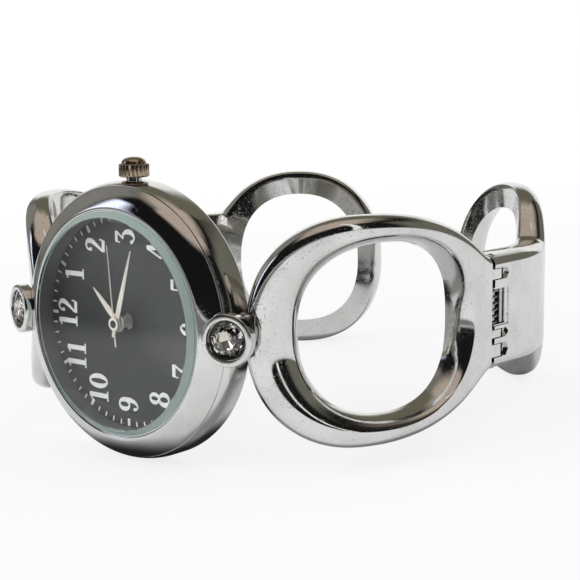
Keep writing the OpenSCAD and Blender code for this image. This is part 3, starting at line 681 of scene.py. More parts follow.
def link_ring(outline, hole, narrow, flip, open_end):
    """The open ring of a link. With open_end its flat end is left for a plate."""
    loop, ends = outline
    count = len(loop)
    verts = []
    for i, p in enumerate(loop):
        step = loop[(i + 1) % count] - loop[i - 1]
        side = flip * np.array((-step[1], step[0])) / np.linalg.norm(step)
        if ends[0] <= i <= ends[1]:
            side = np.array((0.0, math.copysign(1.0, p[1]))) if i in ends else np.zeros(2)
        verts += [on_link(*q) for q in ring_section(p, side, hole, narrow)]
    m = len(verts) // count
    first_side = len(WALL_SHARES) + RIM_SPANS
    last_side = first_side + len(SIDE) - 1
    faces = []
    for i in range(count):
        for j in range(m):
            if open_end and ends[0] <= i < ends[1] and first_side <= j < last_side:
                continue
            faces.append([i * m + j, ((i + 1) % count) * m + j,
                          ((i + 1) % count) * m + (j + 1) % m, i * m + (j + 1) % m])
    return verts, faces


def link_plate(s_from, s_to):
    """The plate beside a hinge, open at s_to, where it meets its ring."""
    levels = [PLATE_H * (0.5 - k / END_ROWS) for k in range(1, END_ROWS)]
    upper = [(PLATE_H / 2 - inward, depth * thickness(PLATE_H / 2)) for inward, depth in SIDE]
    loop = upper + [(z, thickness(z)) for z in levels]
    loop += [(-z, depth) for z, depth in reversed(upper)] + [(z, 0.0) for z in reversed(levels)]
    m = len(loop)
    verts = [on_link(s_from + (s_to - s_from) * i / PLATE_STEPS, z, depth)
             for i in range(PLATE_STEPS + 1) for z, depth in loop]
    faces = [[i * m + k, i * m + (k + 1) % m, (i + 1) * m + (k + 1) % m, (i + 1) * m + k]
             for i in range(PLATE_STEPS) for k in range(m)]
    faces.append(list(range(m)))
    return verts, faces


def tongue_shape(radius, low, high):
    """The round-ended tongue that joins a front link to its collar."""
    outline = arc(radius, math.pi / 2, 3 * math.pi / 2, 32) + [(WEB, -radius), (WEB, radius)]
    return prism(outline, low, high, AT_COLLAR)


def finger_shape(low, high):
    """A hinge finger: round about the pin, flat towards the outer face, with its web."""
    top = PIN_DEPTH - FINGER_SINK
    outline = [*arc(FINGER_R, math.asin(-top / FINGER_R), math.pi / 2, 24), (-WEB, FINGER_R), (-WEB, -top)]
    return prism(outline, low, high, AT_HINGE)


def slot_shape(low, high):
    """The room for a finger in the rear link."""
    radius = FINGER_R + CLEAR
    outline = [(-TOOL_REACH, -TOOL_FAR), (SLOT_END, -TOOL_FAR), (SLOT_END, 0.0),
               *arc(radius, 0.0, math.pi / 2, 16), (0.0, TOOL_FAR), (-TOOL_REACH, TOOL_FAR)]
    return prism(outline, low - CLEAR, high + CLEAR, AT_HINGE)


def notch_shape(low, high):
    """The shallow pointed end of a finger's slot."""
    shoulder = SLOT_END + 0.2
    outline = [(0.5, low - CLEAR), (shoulder, low - CLEAR), (NOTCH_END, (low + high) / 2),
               (shoulder, high + CLEAR), (0.5, high + CLEAR)]
    return prism(outline, PIN_DEPTH - NOTCH_D, TOOL_REACH, AT_HINGE @ IN_HEAD)


def front_link_mesh():
    outline = ring_outline(FRONT_RING_S, FRONT_MID_S, FRONT_HALF, FRONT_END_S)
    ring = link_ring(outline, FRONT_HOLE, FRONT_NARROW, 1, False)
    seam = -PIN_BACK - SNUG_GAP
    past_seam = [(-SEAM_REACH, -TOOL_REACH), (-SEAM_REACH, -0.2), (seam, 0.9), (seam, TOOL_FAR),
                 (PAST_SEAM, TOOL_FAR), (PAST_SEAM, -TOOL_REACH)]
    reach = LUG_W / 2 + SNUG_GAP
    lug_room = box_shape((-6, -reach, -TONGUE_T - 10), (LUG_OUT + SNUG_GAP, reach, -TONGUE_T), AT_COLLAR)
    return carve("front_link", ring, [
        ("DIFFERENCE", rod(CASE_R + SNUG_GAP, -6, PAST_HEAD, IN_HEAD, 256)),
        ("DIFFERENCE", lug_room),
        ("DIFFERENCE", prism(past_seam, -PAST_LINK, PAST_LINK, AT_HINGE)),
        ("UNION", tongue_shape(TONGUE_R, -TONGUE_T, -SNUG_GAP)),
        ("UNION", joined(*[finger_shape(*span) for span in FINGERS])),
        ("DIFFERENCE", rod(SHANK_R + PRESS_GAP, -TONGUE_T - 1, 1, AT_COLLAR)),
        ("DIFFERENCE", rod(PIN_R + PRESS_GAP, -PLATE_H, PLATE_H, AT_HINGE)),
    ])


def rear_link_mesh():
    outline = ring_outline(FREE_S, REAR_MID_S, REAR_RING_LEN / 2, REAR_JOIN_S)
    ring = link_ring(outline, REAR_HOLE, REAR_NARROW, -1, True)
    plate = link_plate(SEAM_S - PLATE_OVERLAP, REAR_JOIN_S)
    low, high = WINDOW
    corner = (-TOOL_REACH, -TOOL_FAR)
    window = box_shape((*corner, low), (WINDOW_END, WINDOW_FLOOR, high), AT_HINGE)
    frame_end = (NOTCH_END, NOTCH_D / 2 - PIN_DEPTH, high + WINDOW_FRAME)
    window_frame = box_shape((*corner, low - WINDOW_FRAME), frame_end, AT_HINGE)
    return carve("rear_link", joined(ring, plate), [
        ("DIFFERENCE", box_shape((-10 - PIN_BACK, -5, -PAST_LINK), (-PIN_BACK, 7, PAST_LINK), AT_HINGE)),
        ("DIFFERENCE", joined(*[slot_shape(*span) for span in FINGERS])),
        ("DIFFERENCE", window),
        ("DIFFERENCE", window_frame),
        ("DIFFERENCE", joined(*[notch_shape(*span) for span in FINGERS])),
        ("DIFFERENCE", rod(PIN_R + TURN_GAP, -PLATE_H, PLATE_H, AT_HINGE)),
    ])


# Case
CREST_TILT = math.radians(15)
CREST_R = (CASE_R - BEZEL_BORE_R - 0.4) / (1 - math.sin(CREST_TILT))
CREST_SHARE = 0.95
SEAM_TILT = math.acos((BAND_FRONT - BEZEL_TOP) / (CREST_R * CREST_SHARE) + math.cos(CREST_TILT))
BEZEL_SEAT = BAND_FRONT - BEZEL_LIP_H
BACK_SEAT = 1.3
LUG_LEVELS = (BAND_BACK + 0.2, BAND_BACK + 3.95)
LUG_BITE = 0.6


def crest(tilt):
    """A place (radius, height) on the head's rounded front edge, which the case and the bezel share."""
    return (CASE_R - CREST_R * (1 - math.sin(tilt)),
            BEZEL_TOP - CREST_R * CREST_SHARE * (math.cos(CREST_TILT) - math.cos(tilt)))


def collar_pocket():
    """The room for a tongue and a collar in the head's edge."""
    return [tongue_shape(TONGUE_R + CLEAR, -TONGUE_T, NECK_H - 0.3),
            rod(COLLAR_R + CLEAR, NECK_H - 0.35, NECK_H + 5.65, AT_COLLAR, 96)]


def on_left(shape):
    return [ON_LEFT @ Vector(v) for v in shape[0]], [face[::-1] for face in shape[1]]


def both_sides(operation, *shapes):
    return [(operation, shape) for shape in shapes] + [(operation, on_left(shape)) for shape in shapes]


def lug_shape():
    """The lug under a collar, cut to the band's height and to its curve."""
    block = box_shape((-3, -LUG_W / 2, -TONGUE_T - LUG_H), (LUG_OUT, LUG_W / 2, -TONGUE_T), AT_COLLAR)
    slab = rod(CASE_R + 2, LUG_LEVELS[0], LUG_LEVELS[1], IN_HEAD, 96)
    inside = rod(CASE_R - LUG_BITE, -1, BAND_FRONT + 1, IN_HEAD, 192)
    lug = shape_of(carve("lug", block, [("INTERSECT", slab)]))
    return shape_of(carve("lug", lug, [("DIFFERENCE", inside)]))


def case_mesh():
    lip = BACK_LIP_R + PRESS_GAP
    front_edge = [crest(tilt) for tilt in np.linspace(math.pi / 2, SEAM_TILT, 9)]
    profile = rounded([
        (CAVITY_R, BACK_SEAT), (lip, BACK_SEAT), (lip, BAND_BACK), (CASE_R - 0.3, BAND_BACK, 0.1),
        (CASE_R, BAND_BACK + 0.3, 0.2), *front_edge, (BEZEL_LIP_R, BAND_FRONT), (BEZEL_LIP_R, BEZEL_SEAT),
        (CAVITY_R, BEZEL_SEAT)])
    shank = rod(SHANK_R + PRESS_GAP, -TONGUE_T - 1.2, 0, AT_COLLAR)
    tube = rod(TUBE_R + PRESS_GAP, CAVITY_R - 1, CASE_R + 2, AT_STEM, 48)
    steps = both_sides("UNION", lug_shape()) + both_sides("DIFFERENCE", *collar_pocket(), shank)
    return carve("case", lathe(profile, IN_HEAD), steps + [("DIFFERENCE", tube)])


def bezel_mesh():
    lip, bore, top = BEZEL_LIP_R - PRESS_GAP, BEZEL_BORE_R, BEZEL_TOP
    seam = crest(SEAM_TILT)[0]
    dome = [crest(tilt) for tilt in np.linspace(SEAM_TILT - 0.03, CREST_TILT, 25)]
    profile = [(CAVITY_R, BEZEL_SEAT), (lip, BEZEL_SEAT), (lip, BAND_FRONT), (seam - 0.1, BAND_FRONT),
               (seam - 0.05, BAND_FRONT + 0.02), *dome, (bore + 0.14, top + 0.02), (bore + 0.04, top - 0.03),
               (bore, top - 0.12), (bore, CRYSTAL_Z), (CAVITY_R, CRYSTAL_Z)]
    return carve("bezel", lathe(profile, IN_HEAD), both_sides("DIFFERENCE", *collar_pocket()))


# Numerals, drawn as strokes of changing width: (x, y, width) in a unit-high box
THICK = 0.185
THIN = 0.075
NUMERAL_W = 0.54
NUMERAL_T = 0.05
MARK_LEVELS = (0.002, 0.035)
TRACK_R = (10.85, 11.4)
TICK_HALF = 0.085
HOUR_TICK_HALF = 0.17
HOUR_TICK_IN = 0.25
STROKE_TAPER = 0.88
DOT_TAPER = 0.86
DOT_STEPS = 20
LAYER_STEP = 0.0006


def line(*points):
    return "line", list(points)


def curve(*points):
    return "curve", list(points)


def dot(x, y, size):
    return "dot", [(x, y, size)]


def bowl(x, y, rx, ry, thick=THICK):
    """A closed round stroke, thick at its sides."""
    turns = np.linspace(0, 2 * math.pi, 41)[:-1]
    widths = [THIN + (thick - THIN) * abs(math.cos(a)) ** 1.3 for a in turns]
    return "loop", [(x + rx * math.cos(a), y + ry * math.sin(a), width) for a, width in zip(turns, widths)]


DIGITS = {
    "0": [bowl(0.27, 0.5, 0.185, 0.44)],
    "1": [line((0.27, 0.02, THICK), (0.27, 0.97, THICK)), line((0.08, 0.035, 0.07), (0.46, 0.035, 0.07)),
          line((0.27, 0.94, 0.09), (0.08, 0.84, 0.06))],
    "2": [curve((0.09, 0.72, 0.08), (0.13, 0.88, 0.07), (0.28, 0.955, 0.09), (0.42, 0.86, 0.17),
                (0.42, 0.68, 0.19), (0.28, 0.42, 0.13), (0.07, 0.1, 0.07)),
          line((0.05, 0.075, 0.15), (0.47, 0.075, 0.15)), line((0.475, 0.09, 0.06), (0.5, 0.27, 0.05)),
          dot(0.12, 0.73, 0.15)],
    "3": [line((0.07, 0.93, 0.12), (0.46, 0.93, 0.12)), line((0.09, 0.93, 0.05), (0.06, 0.76, 0.05)),
          curve((0.46, 0.92, 0.06), (0.33, 0.76, 0.06), (0.2, 0.6, 0.06)),
          curve((0.2, 0.6, 0.06), (0.36, 0.58, 0.1), (0.455, 0.42, 0.18), (0.44, 0.2, 0.19),
                (0.28, 0.045, 0.09), (0.12, 0.1, 0.07)),
          dot(0.1, 0.17, 0.15)],
    "4": [line((0.36, 0.96, 0.08), (0.04, 0.3, 0.06)), line((0.03, 0.28, 0.09), (0.54, 0.28, 0.09)),
          line((0.385, 0.97, 0.15), (0.385, 0.02, 0.17)), line((0.24, 0.035, 0.07), (0.53, 0.035, 0.07))],
    "5": [line((0.11, 0.92, 0.14), (0.46, 0.92, 0.14)), line((0.11, 0.95, 0.06), (0.09, 0.54, 0.06)),
          curve((0.09, 0.54, 0.06), (0.28, 0.63, 0.09), (0.44, 0.5, 0.18), (0.455, 0.26, 0.19),
                (0.3, 0.05, 0.1), (0.12, 0.09, 0.07)),
          dot(0.1, 0.16, 0.15)],
    "6": [bowl(0.28, 0.29, 0.175, 0.245, 0.17),
          curve((0.44, 0.84, 0.08), (0.32, 0.95, 0.07), (0.17, 0.83, 0.13), (0.105, 0.58, 0.18),
                (0.1, 0.32, 0.18)),
          dot(0.42, 0.8, 0.13)],
    "7": [line((0.06, 0.9, 0.16), (0.5, 0.9, 0.16)), line((0.07, 0.9, 0.05), (0.05, 0.7, 0.05)),
          curve((0.49, 0.88, 0.06), (0.33, 0.6, 0.1), (0.24, 0.32, 0.17), (0.24, 0.03, 0.2))],
    "8": [bowl(0.27, 0.735, 0.15, 0.205, 0.15), bowl(0.27, 0.27, 0.185, 0.235, 0.18)],
}
DIGITS["9"] = [(kind, [(NUMERAL_W - x, 1 - y, w) for x, y, w in points]) for kind, points in DIGITS["6"]]


def smooth_path(points, steps=6):
    """Points of a smooth curve through the given ones."""
    data = [np.array(p, float) for p in points]
    data = [2 * data[0] - data[1]] + data + [2 * data[-1] - data[-2]]
    path = []
    for i in range(1, len(data) - 2):
        a, b, c, d = data[i - 1:i + 3]
        for k in range(steps):
            t = k / steps
            path.append(0.5 * (2 * b + (c - a) * t + (2 * a - 5 * b + 4 * c - d) * t * t
                               + (3 * b - a - 3 * c + d) * t ** 3))
    return path + [data[-2]]


def flat_solid(low, high):
    """A closed solid between two outlines with as many points each."""
    count = len(low)
    sides = [[k, (k + 1) % count, count + (k + 1) % count, count + k] for k in range(count)]
    return low + high, [list(range(count))[::-1], list(range(count, 2 * count))] + sides


def stroke_shape(kind, points, thick, lift):
    """A stroke as a low closed solid with its top a little narrower than its foot."""
    if kind == "dot":
        x, y, size = points[0]
        foot, top = circle(size / 2, DOT_STEPS, x, y), circle(size / 2 * DOT_TAPER, DOT_STEPS, x, y)
        return flat_solid([(*p, lift) for p in foot], [(*p, lift + thick) for p in top])
    path = smooth_path(points) if kind == "curve" else [np.array(p, float) for p in points]
    count, closed = len(path), kind == "loop"
    verts = []
    for i, here in enumerate(path):
        before = path[i - 1] if i or closed else here
        after = path[(i + 1) % count] if i < count - 1 or closed else here
        step = (after - before)[:2]
        side = np.array((-step[1], step[0])) / max(np.linalg.norm(step), 1e-9)
        half = here[2] / 2
        top = half * STROKE_TAPER
        for reach, level in ((half, 0.0), (top, thick), (-top, thick), (-half, 0.0)):
            verts.append((*(here[:2] + side * reach), lift + level))
    faces = []
    for i in range(count if closed else count - 1):
        a, b = i * 4, ((i + 1) % count) * 4
        faces += [[a + k, b + k, b + (k + 1) % 4, a + (k + 1) % 4] for k in range(4)]
    if not closed:
        faces += [[0, 1, 2, 3], [(count - 1) * 4 + k for k in (3, 2, 1, 0)]]
    return verts, faces


def on_dial(u, v, lift):
    """A place on the dial, u to the right and v up as the numerals are read."""
    return -v, -(DIAL_FRONT + lift), u


def numeral_shapes(hour, height, radius):
    """The figures of an hour. Each stroke lies a hair above the last, so that none share a face."""
    turn = math.radians(30 * hour)
    middle_u, middle_v = radius * math.sin(turn), radius * math.cos(turn)
    text, width = str(hour), NUMERAL_W * height
    shapes = []
    for i, digit in enumerate(text):
        left = middle_u + (i - len(text) / 2) * width
        for layer, (kind, points) in enumerate(DIGITS[digit]):
            verts, faces = stroke_shape(kind, points, NUMERAL_T / height, LAYER_STEP * layer)
            verts = [on_dial(left + x * height, middle_v + (y - 0.5) * height, MARK_LEVELS[0] + z * height)
                     for x, y, z in verts]
            shapes.append((verts, faces))
    return shapes


def tick_shapes():
    shapes = []
    r_to = TRACK_R[1]
    for minute in range(60):
        turn = math.radians(6 * minute)
        ray, side = (math.sin(turn), math.cos(turn)), (math.cos(turn), -math.sin(turn))
        on_hour = minute % 5 == 0
        half = HOUR_TICK_HALF if on_hour else TICK_HALF
        r_from = TRACK_R[0] - (HOUR_TICK_IN if on_hour else 0.0)
        corners = [(r_from, -half), (r_to, -half), (r_to, half), (r_from, half)]
        flat = [(r * ray[0] + w * side[0], r * ray[1] + w * side[1]) for r, w in corners]
        low, high = ([on_dial(u, v, level) for u, v in flat] for level in MARK_LEVELS)
        shapes.append(flat_solid(low, high))
    return shapes


# Hands
def blade_shape(stations, thick):
    """A hand's blade with a raised middle line: stations are (distance, half width)."""
    verts, faces = [], []
    edge = thick * 0.45
    for x, half in stations:
        verts += [(x, -half, 0), (x, -half, edge), (x, 0, thick), (x, half, edge), (x, half, 0)]
    for i in range(len(stations) - 1):
        a, b = i * 5, (i + 1) * 5
        faces += [[a + k, b + k, b + (k + 1) % 5, a + (k + 1) % 5] for k in range(5)]
    last = (len(stations) - 1) * 5
    faces += [[4, 3, 2, 1, 0], [last + k for k in range(5)]]
    return verts, faces


def hand_place(angle, height):
    return IN_HEAD @ Matrix.Translation((0, 0, height)) @ Matrix.Rotation(math.pi - angle, 4, "Z")


# Stones and springs
def stone_shape(place):
    """A round cut stone: table, crown facets, girdle and pointed back."""
    floor = NECK_H - 0.02
    girdle = NECK_H + 0.75
    crown = girdle + 0.07
    table = NECK_H + COLLAR_HEAD_H + 0.05
    rings = [(0.0, floor, 1, 0), (0.52, floor + 0.4 * (girdle - floor), 8, 0.5), (1.0, girdle, 32, 0.25),
             (1.0, crown, 32, 0.25), (0.82, crown + 0.62 * (table - crown), 8, 0.5), (0.56, table, 8, 0)]
    edit = bmesh.new()
    for share, height, count, shift in rings:
        for k in range(count):
            a = 2 * math.pi * (k + shift) / count
            edit.verts.new((share * STONE_R * math.cos(a), share * STONE_R * math.sin(a), height))
    bmesh.ops.convex_hull(edit, input=edit.verts)
    bmesh.ops.dissolve_limit(edit, angle_limit=math.radians(1), verts=edit.verts, edges=edit.edges)
    edit.verts.index_update()
    shape = ([place @ v.co for v in edit.verts], [[v.index for v in face.verts] for face in edit.faces])
    edit.free()
    return shape


def wire_shape(path, radius, sides, place):
    """A tube along a path."""
    verts, faces = [], []
    count = len(path)
    for i, here in enumerate(path):
        step = (path[min(i + 1, count - 1)] - path[max(i - 1, 0)]).normalized()
        side = Vector((0, 0, 1)).cross(step).normalized()
        up = step.cross(side)
        for k in range(sides):
            a = 2 * math.pi * k / sides
            verts.append(place @ (here + radius * (side * math.cos(a) + up * math.sin(a))))
    for i in range(count - 1):
        faces += [[i * sides + k, i * sides + (k + 1) % sides, (i + 1) * sides + (k + 1) % sides,
                   (i + 1) * sides + k] for k in range(sides)]
    faces += [list(range(sides))[::-1], [(count - 1) * sides + k for k in range(sides)]]
    return verts, faces


# Settings
def length_setting(name, description, default, low, high):
    return FloatProperty(name=name, description=description, default=default, min=low, max=high,
                         unit="LENGTH")


def angle_setting(name, description, degrees):
    return FloatProperty(name=name, description=description, default=math.radians(degrees),
                         subtype="ANGLE")


def colour_setting(name, description, default):
    return FloatVectorProperty(name=name, description=description, default=default,
                               size=3, min=0.0, max=1.0, subtype="COLOR")


class WatchSizes(bpy.types.PropertyGroup):
    hour_length: length_setting("Hour hand", "Length of the hour hand from its centre", 0.0051, 0.003, 0.008)
    minute_length: length_setting(
        "Minute hand", "Length of the minute hand from its centre", 0.0084, 0.005, 0.0105)
    second_length: length_setting(
        "Second hand", "Length of the second hand from its centre", 0.0085, 0.005, 0.0108)
    numeral_height: length_setting(
        "Numeral height", "Height of the applied numerals", 0.00295, 0.0015, 0.004)
    numeral_radius: length_setting(
        "Numeral circle", "Radius of the circle through the middles of the numerals", 0.00905, 0.006, 0.0095)
    hour_angle: angle_setting("Hour angle", "Angle of the hour hand from 12 o'clock", 44)
    minute_angle: angle_setting("Minute angle", "Angle of the minute hand from 12 o'clock", 107)
    second_angle: angle_setting("Second angle", "Angle of the second hand from 12 o'clock", 85)


class WatchColours(bpy.types.PropertyGroup):
    plating: colour_setting("Plating", "Bright plating of the links, case and bezel", (0.79, 0.79, 0.775))
    crown_plating: colour_setting("Crown plating", "Warmer plating of the crown", (0.50, 0.40, 0.29))
    dial: colour_setting("Dial", "Lacquer of the dial", (0.029, 0.031, 0.032))
    numerals: colour_setting("Numerals", "Applied numerals and minute track", (0.93, 0.94, 0.95))
    hands: colour_setting("Hands", "Paint of the hands", (0.84, 0.80, 0.72))
    glass_edge: colour_setting("Glass edge", "Tint of the crystal's ground edge", (0.36, 0.45, 0.415))
    stones: colour_setting("Stones", "Tint of the cut stones", (0.97, 0.96, 0.93))
    gilt: colour_setting("Gilt", "Wheels of the movement", (0.83, 0.62, 0.28))
    floor: colour_setting("Floor", "Pale studio floor", (0.86, 0.86, 0.86))


class WATCH_OT_finishes(bpy.types.Operator):
    """Makes the finishes of all pieces"""
    bl_idname = "watch.finishes"
    bl_label = "Finishes"

    def execute(self, context):
        colours = context.scene.watch_colours
        plating = tuple(colours.plating)
        polished("link_chrome", plating, 0.03, 0.10, grain=0.3, pits=0.7)
        polished("bezel_chrome", plating, 0.02, 0.07, grain=0.1, pits=0.3)
        polished("case_chrome", plating, 0.05, 0.12, grain=0.25, pits=0.5)
        polished("collar_chrome", plating, 0.05, 0.14, grain=0.3, pits=0.5)
        polished("crown_chrome", tuple(colours.crown_plating), 0.12, 0.25, grain=0.2, pits=0.4)
        polished("foil", (0.93, 0.90, 0.82), 0.02, 0.06)
        turned_metal("back_steel", (0.66, 0.65, 0.63), 0.22, 0.34, 1.6)
        polished("inner_steel", (0.56, 0.56, 0.57), 0.18, 0.3, grain=0.6, pits=0.3)
        polished("spring_steel", (0.40, 0.40, 0.42), 0.25, 0.4, grain=0.4, pits=0.2)
        glass("crystal_glass", (0.985, 0.99, 0.985), tuple(colours.glass_edge), 1.52,
              CRYSTAL_R - CRYSTAL_BEVEL, 0.8)
        cut_stone("stone_glass", tuple(colours.stones), 1.78)
        plain("dial_lacquer", tuple(colours.dial), 0.5, 0.18, 0.6, bump=0.02, gloss=0.15)
        plain("numeral_white", tuple(colours.numerals), 0.38, 0.05, 3.0, coat=0.2)
        plain("hand_cream", tuple(colours.hands), 0.34, 0.08, 3.0, coat=0.3)
        # A near-black disc on the second hand's hub paints the shade of its hole
        plain("hand_hole_painted_shade", (0.02, 0.02, 0.022), 0.5, 0.2, 3.0)
        plain("ring_dark", (0.11, 0.115, 0.12), 0.32, 0.15, 2.0, coat=0.2)
        # Near-black seats paint the shade in the gaps round the stones
        plain("seat_painted_shade", (0.012, 0.011, 0.010), 0.35, 0.3, 3.0)
        plain("gasket_rubber", (0.015, 0.015, 0.016), 0.7, 0.3, 4.0)
        plain("gasket_nylon", (0.66, 0.70, 0.68), 0.45, 0.1, 4.0)
        plain("holder_plastic", (0.78, 0.78, 0.75), 0.5, 0.08, 2.0)
        striped("movement_brass", (0.72, 0.68, 0.56), (0.56, 0.52, 0.42), "X", 0.9, 0.28)
        turned_metal("gilt_wheels", tuple(colours.gilt), 0.2, 0.32, 2.5)
        striped("coil_copper", (0.74, 0.34, 0.16), (0.40, 0.16, 0.07), "Z", 3.5, 0.3)
        plain("board_green", (0.03, 0.16, 0.07), 0.4, 0.25, 2.5, coat=0.4)
        return {"FINISHED"}


class WATCH_OT_case(bpy.types.Operator):
    """Builds the case band with its lugs, the bezel, the back and the crown's tube"""
    bl_idname = "watch.case"
    bl_label = "Case and bezel"

    def execute(self, context):
        stand_in("case", case_mesh(), "case_chrome")
        stand_in("bezel", bezel_mesh(), "bezel_chrome", 40)
        lip, rim, wall = BACK_LIP_R, BACK_LIP_R + 0.8, BACK_LIP_R - 0.6
        back = rounded([
            (0, 0), (lip - 2.6, 0), (lip - 2.5, 0.06, 0.03), (lip - 2.2, 0.06, 0.03), (lip - 2.1, 0, 0.03),
            (wall, 0, 0.25), (rim, BAND_BACK - 0.05, 0.04), (rim, BAND_BACK), (lip, BAND_BACK), (lip, 1.0),
            (wall, 1.0), (wall, 0.55), (0, 0.55)])
        stand_in("case_back", mesh_of("case_back", lathe(back, IN_HEAD, closed=False)), "back_steel", 40)
        bore, low, high = STEM_R + TURN_GAP, CAVITY_R + 1.3, CROWN_Z + 0.6
        tube = rounded([(bore, low), (TUBE_R, low), (TUBE_R, high, 0.1), (bore, high, 0.1)], 3)
        stand_in("crown_tube", mesh_of("crown_tube", lathe(tube, AT_STEM, 64)), "case_chrome", 40)
        return {"FINISHED"}


class WATCH_OT_crystal(bpy.types.Operator):
    """Builds the bevelled crystal"""
    bl_idname = "watch.crystal"
    bl_label = "Crystal"

    def execute(self, context):
        top = CRYSTAL_Z + CRYSTAL_T
        profile = rounded([
            (0, CRYSTAL_Z), (CRYSTAL_R, CRYSTAL_Z, 0.05), (CRYSTAL_R, top - CRYSTAL_BEVEL, 0.06),
            (CRYSTAL_R - CRYSTAL_BEVEL, top, 0.08), (0, top)])
        stand_in("crystal", mesh_of("crystal", lathe(profile, IN_HEAD, closed=False)), "crystal_glass", 30)
        return {"FINISHED"}


class WATCH_OT_dial(bpy.types.Operator):
    """Builds the chapter ring, the numerals and the minute track"""
    bl_idname = "watch.dial"
    bl_label = "Dial"

    def execute(self, context):
        sizes = context.scene.watch_sizes
        height, radius = sizes.numeral_height / MM, sizes.numeral_radius / MM
        figures = [shape for hour in range(1, 13) for shape in numeral_shapes(hour, height, radius)]
        numerals = mesh_of("numerals", joined(*figures), weld=False)
        add_piece("numerals", numerals, "head", "numeral_white", sharp=40)
        track = mesh_of("minute_track", joined(*tick_shapes()))
        add_piece("minute_track", track, "head", "numeral_white")
        outer, low, high = CAVITY_R - PRESS_GAP, DIAL_FRONT, DIAL_FRONT + HAND_ROOM - 0.01
        profile = rounded([(DIAL_VIEW_R, low), (outer, low), (outer, high, 0.03),
                           (DIAL_VIEW_R + 0.1, high, 0.05), (DIAL_VIEW_R, low + 0.25, 0.1)], 3)
        stand_in("chapter_ring", mesh_of("chapter_ring", lathe(profile, IN_HEAD)), "ring_dark", 40)
        dress("dial_lacquer", "dial")
        return {"FINISHED"}


class WATCH_OT_hands(bpy.types.Operator):
    """Builds the three hands"""
    bl_idname = "watch.hands"
    bl_label = "Hands"

    def execute(self, context):
        sizes = context.scene.watch_sizes
        hour, minute, second = (length / MM for length in (
            sizes.hour_length, sizes.minute_length, sizes.second_length))
        # Each hand: its body, angle, thickness, the radii of its hub, and its blades from tip to tail
        plans = {
            "hour_hand": ("hours", sizes.hour_angle, HOUR_T, 0.95, 0.6, [
                [(0.6, 0.28), (1.9, 0.36), (hour - 1.0, 0.2), (hour, 0.06)]]),
            "minute_hand": ("minutes", sizes.minute_angle, MINUTE_T, 0.76, 0.34, [
                [(0.5, 0.335), (2.4, 0.34), (minute - 1.5, 0.15), (minute, 0.07)],
                [(-1.6, 0.2), (-0.5, 0.32)]]),
            "second_hand": ("seconds", sizes.second_angle, SECOND_T, 0.72, 0.13, [
                [(0.5, 0.09), (second - 0.5, 0.06), (second, 0.05)], [(-2.5, 0.12), (-0.5, 0.1)]]),
        }
        lift = DIAL_FRONT + HOUR_LIFT
        for level, (name, (body, angle, thick, hub_r, bore_r, blades)) in enumerate(plans.items()):
            place = hand_place(angle, lift + level * HAND_RISE)
            hub = rounded([(bore_r, 0), (hub_r, 0, 0.02), (hub_r, thick, 0.05), (bore_r, thick, 0.02)], 3)
            shapes = [placed(blade_shape(stations, thick * 0.9), place) for stations in blades]
            mesh = mesh_of(name, joined(lathe(hub, place, 64), *shapes))
            stand_in(name, mesh, "hand_cream", 25, body)
        top = lift + 2 * HAND_RISE + SECOND_T
        # A near-black disc over the hub paints the shade of the second hand's hole
        cap = rounded([(0, 0), (0.42, 0), (0.42, 0.03, 0.02), (0, 0.05)], 3)
        cap_mesh = mesh_of("second_hole_shade", lathe(cap, hand_place(0, top + 0.001), 48, False))
        add_piece("second_hole_shade", cap_mesh, "seconds", "hand_hole_painted_shade")
        return {"FINISHED"}


class WATCH_OT_crown(bpy.types.Operator):
    """Builds the fluted crown with its dome"""
    bl_idname = "watch.crown"
    bl_label = "Crown"

    def execute(self, context):
        def flute(turn):
            return FLUTE_D * (0.5 - 0.5 * math.cos(FLUTES * turn)) ** 0.55

        r, inner = CROWN_R, TUBE_R + 0.27
        low, top = CROWN_Z, CROWN_Z + CROWN_H
        foot = 0.06
        dome = [((r - 0.3) * math.cos(a) ** 0.85, top + foot + (DOME_H - foot) * math.sin(a) ** 1.05)
                for a in np.linspace(0, math.pi / 2 - 0.02, 14)]
        profile = [
            (0, low + 0.8), (inner, low + 0.8), (inner, low), (r - 0.26, low), (r - 0.12, low + 0.03, 0.3),
            (r - 0.02, low + 0.1, 1), (r, low + 0.2, 1), (r, top - 0.16, 1), (r - 0.05, top - 0.06, 0.8),
            (r - 0.17, top - 0.01, 0.3), (r - 0.27, top), (r - 0.34, top + 0.02), *dome, (0, top + DOME_H)]
        mesh = mesh_of("crown", lathe(profile, AT_STEM, 288, False, flute))
        stand_in("crown", mesh, "crown_chrome", 50, "crown")
        dress("inner_steel", "stem", "clutch", "clutch_yoke")
        dress("gasket_rubber", "crown_gasket")
        return {"FINISHED"}


